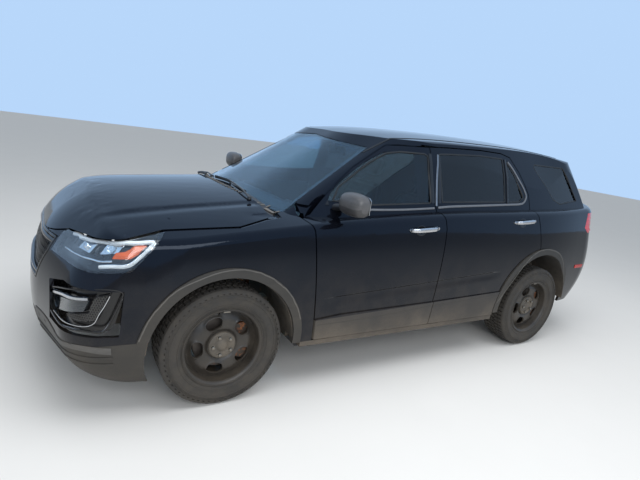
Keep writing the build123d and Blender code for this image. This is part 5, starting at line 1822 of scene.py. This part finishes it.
def cushion_piece(name, mesh, matrix, node, mirror=False):
    """A copy of a cushion in its place, in the place of a CAD node."""
    copy = mesh.copy()
    copy.name = name
    for vertex in copy.vertices:
        place = matrix @ vertex.co
        vertex.co = Vector((place.x, -place.y, place.z)) if mirror else place
    if mirror:
        copy.flip_normals()
    copy.materials.clear()
    copy.materials.append(MATERIALS["seat_fabric"])
    copy.shade_smooth()
    item = placed(name, copy)
    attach(item, "body")
    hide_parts(node)


WELT_RADIUS = 0.0032


def piping(mesh, matrix, name, mirror, section):
    """A thin welt round a cushion, where its face panel meets the side, on the cushion's own skin."""
    corners = [v.co.copy() for v in mesh.vertices]
    tree = BVHTree.FromPolygons(corners, [list(p.vertices) for p in mesh.polygons])
    path = []
    for p in section:
        spot, normal, _, _ = tree.find_nearest(Vector(p))
        path.append(spot + normal * WELT_RADIUS * 0.3)
    rings = []
    count = len(path)
    for i, place in enumerate(path):
        along = (path[(i + 1) % count] - path[i - 1]).normalized()
        _, normal, _, _ = tree.find_nearest(place)
        side = along.cross(normal).normalized()
        rings.append(ring(place, side, side.cross(along), WELT_RADIUS, 8))
    form = tube_of(rings, closed=True).moved(matrix)
    piece(name, form.mirrored() if mirror else form, "seat_vinyl", "body", sharp=60)


def welt_path(length, width, z, power=0.30, count=90):
    section = [squared(a, power) for a in turns(count)]
    return [(c * length / 2, s * width / 2, z) for c, s in section]


def tilted(x, z, lean, y=0.0):
    """A matrix for a back cushion: its length runs up and leans back, its face looks forward."""
    upright = Matrix.Rotation(radians(-90 - lean), 4, "Y") @ Matrix.Rotation(pi, 4, "X")
    return Matrix.Translation(at(x, y, z)) @ upright


# A front seat: its middle, its back's lean, and where the middle of its back lies
SEAT_Y, SEAT_LEAN = 0.370, 18
SEAT_BACK = (-1.630 - 0.32 * sin(radians(SEAT_LEAN)), 0.640 + 0.32 * cos(radians(SEAT_LEAN)))
BENCH_LEAN = 16
BENCH_BACK = (-2.470 - 0.30 * sin(radians(BENCH_LEAN)), 0.690 + 0.30 * cos(radians(BENCH_LEAN)))


def build_front_seats():
    base = stuffed("seat_base_pad", pad_form(0.500, 0.480, 0.125, bulge=0.018), 0.0115, 0.025)
    sew(base, (0.150,), (0.055, -0.085))
    back = stuffed("seat_back_pad", pad_form(0.650, 0.480, 0.100, bulge=0.022), 0.0125, 0.022)
    sew(back, (0.140,), (0.165, -0.010, -0.165))
    head = stuffed("head_pad", pad_form(0.175, 0.245, 0.100, power=0.55), 0.007, 0.010)
    flat = Matrix.Translation(at(-1.390, SEAT_Y, 0.622)) @ Matrix.Rotation(radians(-3), 4, "Y")
    for side, sign in SIDES:
        for name, mesh, matrix, length, width in (
            ("seat_cushion", base, flat, 0.500, 0.480),
            ("seat_back", back, tilted(*SEAT_BACK, SEAT_LEAN, SEAT_Y), 0.650, 0.480),
            ("head_restraint", head, tilted(-1.882, 1.368, 14, SEAT_Y), 0.175, 0.245),
        ):
            cushion_piece(f"{side}_{name}", mesh, matrix, "front_seats", mirror=sign < 0)
            if mesh is not head:
                welt = welt_path(length * 0.90, width * 0.93, 0.045)
                piping(mesh, matrix, f"{side}_{name}_welt", sign < 0, welt)
    posts, rails = Form(), Form()
    for y in (0.310, 0.430):
        posts.join(hose([at(-1.795, y, 1.205), at(-1.835, y, 1.270), at(-1.868, y, 1.340)], 0.006, 10, 4))
    for y in (0.165, 0.575):
        rails.join(block(*span(-1.630, -1.170), y - 0.020, y + 0.020, 0.306, 0.345))
    for x in (-1.600, -1.200):
        rails.join(block(*span(x - 0.02, x + 0.02), 0.160, 0.580, 0.345, 0.375))
    plinth = shaped_box(at(-1.400, SEAT_Y, 0.462), 0.470, 0.465, 0.165, 0.35)
    shell = shaped_box(Vector(), 0.600, 0.430, 0.055, 0.35).moved(
        tilted(SEAT_BACK[0] - 0.048, SEAT_BACK[1] - 0.010, SEAT_LEAN, SEAT_Y))
    pair("SIDE_head_posts", posts, "bright_trim", "body", sharp=50)
    pair("SIDE_seat_rails", rails, "chassis_black", "body", bevel=0.003)
    pair("SIDE_seat_plinth", plinth, "cabin_plastic", "body", sharp=60)
    pair("SIDE_seat_back_shell", shell, "cabin_plastic", "body", sharp=60)


def build_bench():
    base = stuffed("bench_pad", pad_form(0.480, 1.205, 0.115, power=0.30), 0.0135, 0.022)
    sew(base, (0.205, 0.500), (0.100,), width=0.015, inside=False)
    back = stuffed("bench_back_pad", pad_form(0.620, 1.165, 0.095, power=0.30), 0.0135, 0.022)
    sew(back, (0.200, 0.480), (0.160,), width=0.015, inside=False)
    for name, mesh, matrix, length, width in (
        ("bench_cushion", base, Matrix.Translation(at(-2.235, 0, 0.652)), 0.480, 1.205),
        ("bench_back", back, tilted(*BENCH_BACK, BENCH_LEAN), 0.620, 1.165),
    ):
        cushion_piece(name, mesh, matrix, "rear_bench")
        piping(mesh, matrix, f"{name}_welt", False, welt_path(length * 0.90, width * 0.96, 0.042, 0.22, 130))
    plinth = shaped_box(at(-2.215, 0, 0.520), 0.400, 1.100, 0.120, 0.3)
    piece("bench_plinth", plinth, "cabin_plastic", "body", sharp=60)


def span(a, b):
    """Two stations in the frame."""
    return a + FRONT_AXLE_X, b + FRONT_AXLE_X


def shaped_box(centre, length, width, tall, power=0.35, rows=8, count=40):
    """A softly rounded box, swept up its height."""
    section = [squared(a, power) for a in turns(count)]
    rings = []
    for u in spaced(-1, 1, rows + 1):
        shrink = 1 - 0.07 * abs(u) ** 5
        rings.append([Vector(centre) + Vector((c * length / 2 * shrink, s * width / 2 * shrink, u * tall / 2))
                      for c, s in section])
    return tube_of(rings)


def leaning_box(place, lean, length, width, tall, power):
    """A softly rounded box at a station, turned about Y by some degrees."""
    turn = Matrix.Translation(at(*place)) @ Matrix.Rotation(radians(lean), 4, "Y")
    return shaped_box(Vector(), length, width, tall, power).moved(turn)


def drawn(tree, x0, x1, y0, y1, nx, ny, up, lift, thick):
    """A lining laid on the top of the floor, or hung under the roof."""
    way = Vector((0, 0, -1 if up else 1))
    grid = []
    for x in spaced(x0, x1, nx + 1):
        column = []
        for j, y in enumerate(spaced(y0, y1, ny + 1)):
            place, _, _, _ = tree.ray_cast(at(x, y, 1.15), -way)
            if place is not None:
                column.append((place + way * lift, way))
            elif grid:
                column.append((grid[-1][j][0] + Vector(((x1 - x0) / nx, 0, 0)), way))
            else:
                column.append((at(x, y, 1.6 if up else 0.3), way))
        grid.append(column)
    return slab(grid, thick)


def build_cabin_linings():
    floor = skin_tree("floor_pan")
    for name, x0, x1, half, nx, ny in (
        ("carpet_front", -1.860, -0.505, 0.820, 40, 60), ("carpet_rear", -2.480, -1.870, 0.600, 24, 40),
        ("carpet_cargo", -3.780, -2.490, 0.600, 30, 24),
    ):
        carpet = drawn(floor, x0, x1, -half, half, nx, ny, False, 0.0005, 0.006)
        piece(name, carpet, "carpet", "body")
    lining = drawn(skin_tree("roof"), -1.240, -3.250, -0.560, 0.560, 40, 24, True, 0.0005, 0.010)
    piece("roof_lining", lining, "headlining", "body", sharp=50)
    visor = leaning_box((-1.290, 0.330, 1.612), 12, 0.170, 0.400, 0.016, 0.3)
    pair("SIDE_sun_visor", visor, "headlining", "body", sharp=50)


# The section of the hood over the instruments, as (station, height)
DIAL_HOOD = ((-0.760, 1.062), (-0.800, 1.085), (-0.870, 1.078), (-0.905, 1.052), (-0.895, 1.040),
             (-0.850, 1.050), (-0.780, 1.045))
DIAL_SHAPE = ((0.0, 0.004), (0.048, 0.004), (0.052, 0.010), (0.056, 0.009), (0.057, 0.0), (0.0, 0.0))
KNOB_SHAPE = ((0.0, 0.020), (0.014, 0.019), (0.016, 0.016), (0.018, 0.0), (0.0, 0.0))


def build_dash():
    hood, dials, knobs, slats, vents = [], Form(), Form(), Form(), Form()
    for u in spaced(-1, 1, 13):
        rise = 0.030 * (1 - u * u) ** 0.6
        hood.append([at(x, SEAT_Y + u * 0.180, z + rise) for x, z in DIAL_HOOD])
    for y in (0.290, 0.450):
        dials.join(seated(DIAL_SHAPE, 40, at(-0.893, y, 1.012), (-0.93, 0, 0.30)))
    for y in (-0.085, 0.085):
        knobs.join(seated(KNOB_SHAPE, 28, at(-0.922, y, 0.850), (-0.97, 0, -0.2)))
    for y in (-0.600, -0.180, 0.180, 0.600):
        vents.join(shaped_box(at(-0.905, y, 0.985), 0.030, 0.130, 0.082, 0.3))
        for k in range(5):
            z = 0.955 + 0.015 * k
            slats.join(block(*span(-0.926, -0.916), y - 0.056, y + 0.056, z - 0.0022, z + 0.0022))
    lever = hose([at(-1.150, 0.0, 0.655), at(-1.158, 0.0, 0.700), at(-1.170, 0.0, 0.745)], 0.009, 12, 5)
    lever.join(shaped_box(at(-1.172, 0.0, 0.762), 0.042, 0.042, 0.060, 0.6))
    pedals = Form()
    for x, y, wide, tall in ((-0.640, 0.430, 0.075, 0.065), (-0.620, 0.270, 0.045, 0.140)):
        pedals.join(leaning_box((x, y, 0.440), -28, 0.014, wide, tall, 0.3))
        arm = [at(x + 0.01, y, 0.445), at(x + 0.07, y, 0.560), at(x + 0.10, y, 0.700)]
        pedals.join(hose(arm, 0.008, 8, 4))
    mirror = leaning_box((-1.190, 0.0, 1.500), 10, 0.026, 0.245, 0.070, 0.45)
    mirror.join(hose([at(-1.180, 0.0, 1.505), at(-1.165, 0.0, 1.545), at(-1.170, 0.0, 1.590)], 0.007, 10, 5))
    wheel = facing(at(-1.060, SEAT_Y, 0.985), (-0.9, 0, 0.44))
    stalks = Form()
    for y in (0.150, -0.150):
        root = wheel @ Vector((copysign(0.03, y), 0, -0.09))
        stalks.join(rod(root, wheel @ Vector((y * 1.2, 0.03, -0.075)), 0.008, 10, 0.006))
    for name, form, material, sharp in (
        ("instrument_hood", tube_of(hood), "cabin_plastic", 50),
        ("instrument_dials", dials, "screen_black", 50),
        ("centre_screen", leaning_box((-0.930, 0.0, 0.985), -14, 0.014, 0.235, 0.150, 0.25),
         "screen_black", 50),
        ("centre_stack", leaning_box((-0.908, 0.0, 0.830), 14, 0.030, 0.250, 0.170, 0.25), "cabin_trim", 50),
        ("dash_knobs", knobs, "cabin_trim", 40),
        ("air_vents", vents, "cabin_trim", 50),
        ("vent_slats", slats, "gloss_black", 40),
        ("glove_box_lid", leaning_box((-0.890, -0.370, 0.820), 20, 0.016, 0.400, 0.165, 0.22),
         "cabin_trim", 50),
        ("centre_console", shaped_box(at(-1.330, 0.0, 0.560), 0.840, 0.200, 0.200, 0.28),
         "cabin_plastic", 50),
        ("console_arm_rest", shaped_box(at(-1.560, 0.0, 0.690), 0.340, 0.190, 0.060), "seat_vinyl", 60),
        ("gear_lever", lever, "cabin_trim", 50),
        ("pedals", pedals, "rubber_seal", 50),
        ("cabin_mirror", mirror, "cabin_plastic", 50),
        ("steering_wheel_pad", shaped_box(Vector((0, 0, 0.008)), 0.150, 0.110, 0.045, 0.5).moved(wheel),
         "seat_vinyl", 60),
        ("column_stalks", stalks, "cabin_plastic", 50),
    ):
        piece(name, form, material, "body", sharp=sharp)


# How far the lining stands inside a door's outer skin
LINING_DEPTH = 0.0605


def build_door_linings():
    tree = skin_tree("front_left_door", "rear_left_door")
    for name, x0, x1, z0, z1, shift in (
        ("front", -0.780, -1.470, 0.470, 1.100, 0.02), ("rear", -1.720, -2.240, 0.470, 1.130, 0.0),
    ):
        body = f"{name}_SIDE_door_body"
        grid = []
        for x in spaced(x0, x1, 15):
            column = []
            for z in spaced(z0, z1, 11):
                place, _ = on_side(tree, x, z)
                place = place or at(x, 0.96, z)
                column.append((place - Vector((0, LINING_DEPTH, 0)), Vector((0, -1, 0))))
            grid.append(column)
        pair(f"{name}_SIDE_door_lining", slab(grid, 0.012), "cabin_plastic", body, sharp=50)
        place, _ = on_side(tree, (x0 + x1) / 2 + shift, 0.80)
        rest = shaped_box(Vector((place.x, place.y - 0.095, 0.815)), abs(x1 - x0) * 0.62, 0.055, 0.060, 0.35)
        pair(f"{name}_SIDE_arm_rest", rest, "cabin_trim", body, sharp=60)
        pull = hose([Vector((place.x + along, place.y - inside, z)) for along, inside, z in (
            (0.10, 0.078, 0.935), (0.06, 0.092, 0.945), (0.0, 0.078, 0.950))], 0.006, 10, 5)
        pair(f"{name}_SIDE_door_pull", pull, "bright_trim", body, sharp=60)


# Underneath

def coil(top, foot, radius, wire, coils, count=10):
    """A coil spring between two places."""
    axis = top - foot
    side = axis.orthogonal().normalized()
    up = axis.normalized().cross(side)
    steps = int(coils * 18)
    rings = []
    for i in range(steps + 1):
        a = 2 * pi * coils * i / steps
        out = side * cos(a) + up * sin(a)
        rise = (up * cos(a) - side * sin(a)) * radius * 2 * pi * coils / steps + axis / steps
        lift = rise.normalized().cross(out).normalized()
        rings.append(ring(foot + axis * (i / steps) + out * radius, out, lift, wire, count))
    return tube_of(rings)


def build_underside():
    # The strut's axis, from the lower ball joint to its top
    foot, top = Vector((0, 0.682, 0.450)), Vector((0, 0.610, 0.944))
    axis = (top - foot).normalized()
    spring = coil(at(*(foot + axis * 0.470)), at(*(foot + axis * 0.318)), 0.071, 0.0065, 4.5)
    pair("SIDE_front_spring", spring, "chassis_black", "front_SIDE_hub", sharp=60)
    rear = coil(at(-2.860, 0.560, 0.520), at(-2.860, 0.560, 0.300), 0.055, 0.0075, 5)
    pair("SIDE_rear_spring", rear, "chassis_black", "body", sharp=60)
    shoulder = at(-2.940, 0.560, 0.545)
    damper = rod(at(-2.960, 0.600, 0.300), shoulder, 0.022, 16)
    damper.join(rod(shoulder, at(-2.934, 0.548, 0.600), 0.010, 12))
    pair("SIDE_rear_damper", damper, "chassis_black", "body", sharp=50)


FRONT_LIP = (
    (0.496, 0.483), (0.425, 0.619), (0.366, 0.701), (0.284, 0.762), (0.183, 0.806), (0.078, 0.840),
    (-0.035, 0.852), (-0.168, 0.835), (-0.288, 0.780), (-0.363, 0.713), (-0.445, 0.611), (-0.488, 0.514),
)
REAR_LIP = (
    (-2.342, 0.457), (-2.451, 0.619), (-2.535, 0.748), (-2.630, 0.851), (-2.745, 0.911), (-2.887, 0.917),
    (-3.055, 0.877), (-3.174, 0.789), (-3.266, 0.659),
)


def build_arch_lips():
    """The thin raised bead along the outer edge of each arch moulding, in a pale plastic that paints a
    highlight on the edge.
    """
    tree = skin_tree("arch_mouldings")

    def pulled(x, z, centre, pull):
        """A point drawn towards the wheel's middle by a length."""
        share = 1 - pull / hypot(x - centre, z - WHEEL_Z)
        return centre + (x - centre) * share, WHEEL_Z + (z - WHEEL_Z) * share
    for corner, lip, centre in (("front", FRONT_LIP, 0.0), ("rear", REAR_LIP, -WHEELBASE)):
        path = []
        for x, z in smooth_path(lip, 4):
            for pull in (0.002, 0.005, 0.009, 0.014, 0.020):
                place, normal = on_side(tree, *pulled(x, z, centre, pull))
                if place is not None and normal.y > 0.5:
                    path.append(pulled(x, z, centre, pull + 0.004))
                    break
        bead = skin_bar(on_side, tree, path, -0.0005, 0.007, 0.0022)
        pair(f"{corner}_SIDE_arch_bead", bead, "moulding_edge", "body", sharp=60)


# The hood's skin

CREASE_ROWS = ((-0.46, 0.525), (-0.20, 0.541), (0.18, 0.561), (0.43, 0.583), (0.60, 0.593), (0.80, 0.600))
CREASE_DEEP, CREASE_WIDE = 0.0075, 0.072


def hood_drop(x, y):
    """How far the skin lies below the hood's crown, beside its two long creases."""
    half = CREASE_ROWS[-1][1]
    for (x0, y0), (x1, y1) in zip(CREASE_ROWS, CREASE_ROWS[1:]):
        if x <= x1:
            half = y0 + (y1 - y0) * max(0.0, (x - x0) / (x1 - x0))
            break
    t = (abs(y) - half) / CREASE_WIDE
    if t <= 0:
        return 0.0
    fade = min(1.0, max(0.0, (0.70 - x) / 0.22))
    fall = min(1.0, t * 2.2)
    rise = min(1.0, max(0.0, (t - 0.45) / 1.1))
    return CREASE_DEEP * fade * fall * fall * (3 - 2 * fall) * (1 - rise * rise * (3 - 2 * rise))


def build_hood():
    """The hood with its nose rounded over and its creases pressed in, from the CAD solid's own faces."""
    work = bmesh.new()
    work.from_mesh(NODES["hood"].data)
    bmesh.ops.remove_doubles(work, verts=work.verts, dist=MERGE)
    bmesh.ops.dissolve_limit(work, angle_limit=radians(0.3), verts=work.verts, edges=work.edges)
    bmesh.ops.triangulate(work, faces=work.faces)
    tree = BVHTree.FromBMesh(work)

    def top_at(x, y):
        place, normal, _, _ = tree.ray_cast(Vector((x, y, 2.0)), Vector((0, 0, -1)))
        return place.z if place is not None and normal.z > 0.04 and place.z > 0.86 else None

    def on_top_skin(face):
        middle = face.calc_center_median()
        if face.normal.z < 0.06:
            return False
        top = top_at(middle.x, middle.y)
        return top is not None and abs(top - middle.z) < 0.003

    def room(x, y, most=0.16, step=0.01):
        """How far the skin reaches both ways along the vehicle, and how near its side edge is."""
        reach = 0.0
        while reach < most and None not in (top_at(x + reach + step, y), top_at(x - reach - step, y)):
            reach += step
        low, high = 0.0, step
        if reach < most:
            low, high = reach, reach + step
            for _ in range(4):
                middle = (low + high) / 2
                if None in (top_at(x + middle, y), top_at(x - middle, y)):
                    high = middle
                else:
                    low = middle
            reach = low
        return min(reach, most)
    for size in (0.20, 0.10, 0.05, 0.028):
        skin = {f for f in work.faces if on_top_skin(f)}
        long = [e for e in work.edges if e.calc_length() > size and any(f in skin for f in e.link_faces)]
        bmesh.ops.subdivide_edges(work, edges=long, cuts=1, use_grid_fill=False)
        bmesh.ops.triangulate(work, faces=[f for f in work.faces if len(f.verts) > 3])
    work.normal_update()
    skin = {f for f in work.faces if on_top_skin(f)}
    inside = {v for f in skin for v in f.verts}
    moves = {}
    for vert in inside:
        x, y = vert.co.x, vert.co.y
        sideways = min(1.0, max(0.0, 1.0 if None not in (top_at(x, y + 0.02), top_at(x, y - 0.02)) else 0.0))
        reach = room(x, y)
        rim = any(f not in skin for f in vert.link_faces)
        if (rim and (reach < 0.02 or not sideways)) or abs((top_at(x, y) or 9) - vert.co.z) > 0.004:
            moves[vert] = None
            continue
        total, weight = vert.co.z, 1.0
        for share in (0.2, 0.4, 0.6, 0.8, 1.0):
            pair_heights = [top_at(x + reach * share * 0.98, y), top_at(x - reach * share * 0.98, y)]
            if None in pair_heights:
                continue
            total += sum(pair_heights) * (1.15 - share)
            weight += 2 * (1.15 - share)
        moves[vert] = min(0.0, total / weight - vert.co.z)
    for _ in range(18):
        fresh = {}
        for vert, move in moves.items():
            if move is None:
                fresh[vert] = None
                continue
            near = [moves.get(e.other_vert(vert)) or 0.0 for e in vert.link_edges]
            fresh[vert] = 0.4 * move + 0.6 * sum(near) / len(near)
        moves = fresh
    for vert, move in moves.items():
        if move is not None:
            vert.co.z += move - hood_drop(vert.co.x - FRONT_AXLE_X, vert.co.y)
    mesh = bpy.data.meshes.new("hood_panel")
    work.to_mesh(mesh)
    work.free()
    mesh.materials.append(MATERIALS["black_paint"])
    item = placed("hood_panel", mesh)
    mesh.shade_smooth()
    mesh.set_sharp_from_angle(angle=radians(32))
    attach(item, "hood_body")
    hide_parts("hood")


build_effects()
build_materials()
place_camera()
light_studio()
lay_floor()
dress_nodes()
build_wheels()
build_headlamps()
build_grille()
build_fog_lamps()
build_valance()
build_side_trims()
build_handles()
build_mirrors()
build_glass_edges()
build_wipers()
build_cowl()
build_roof_items()
build_tail()
build_arch_lips()
build_hood()
build_front_seats()
build_bench()
build_cabin_linings()
build_dash()
build_door_linings()
build_underside()
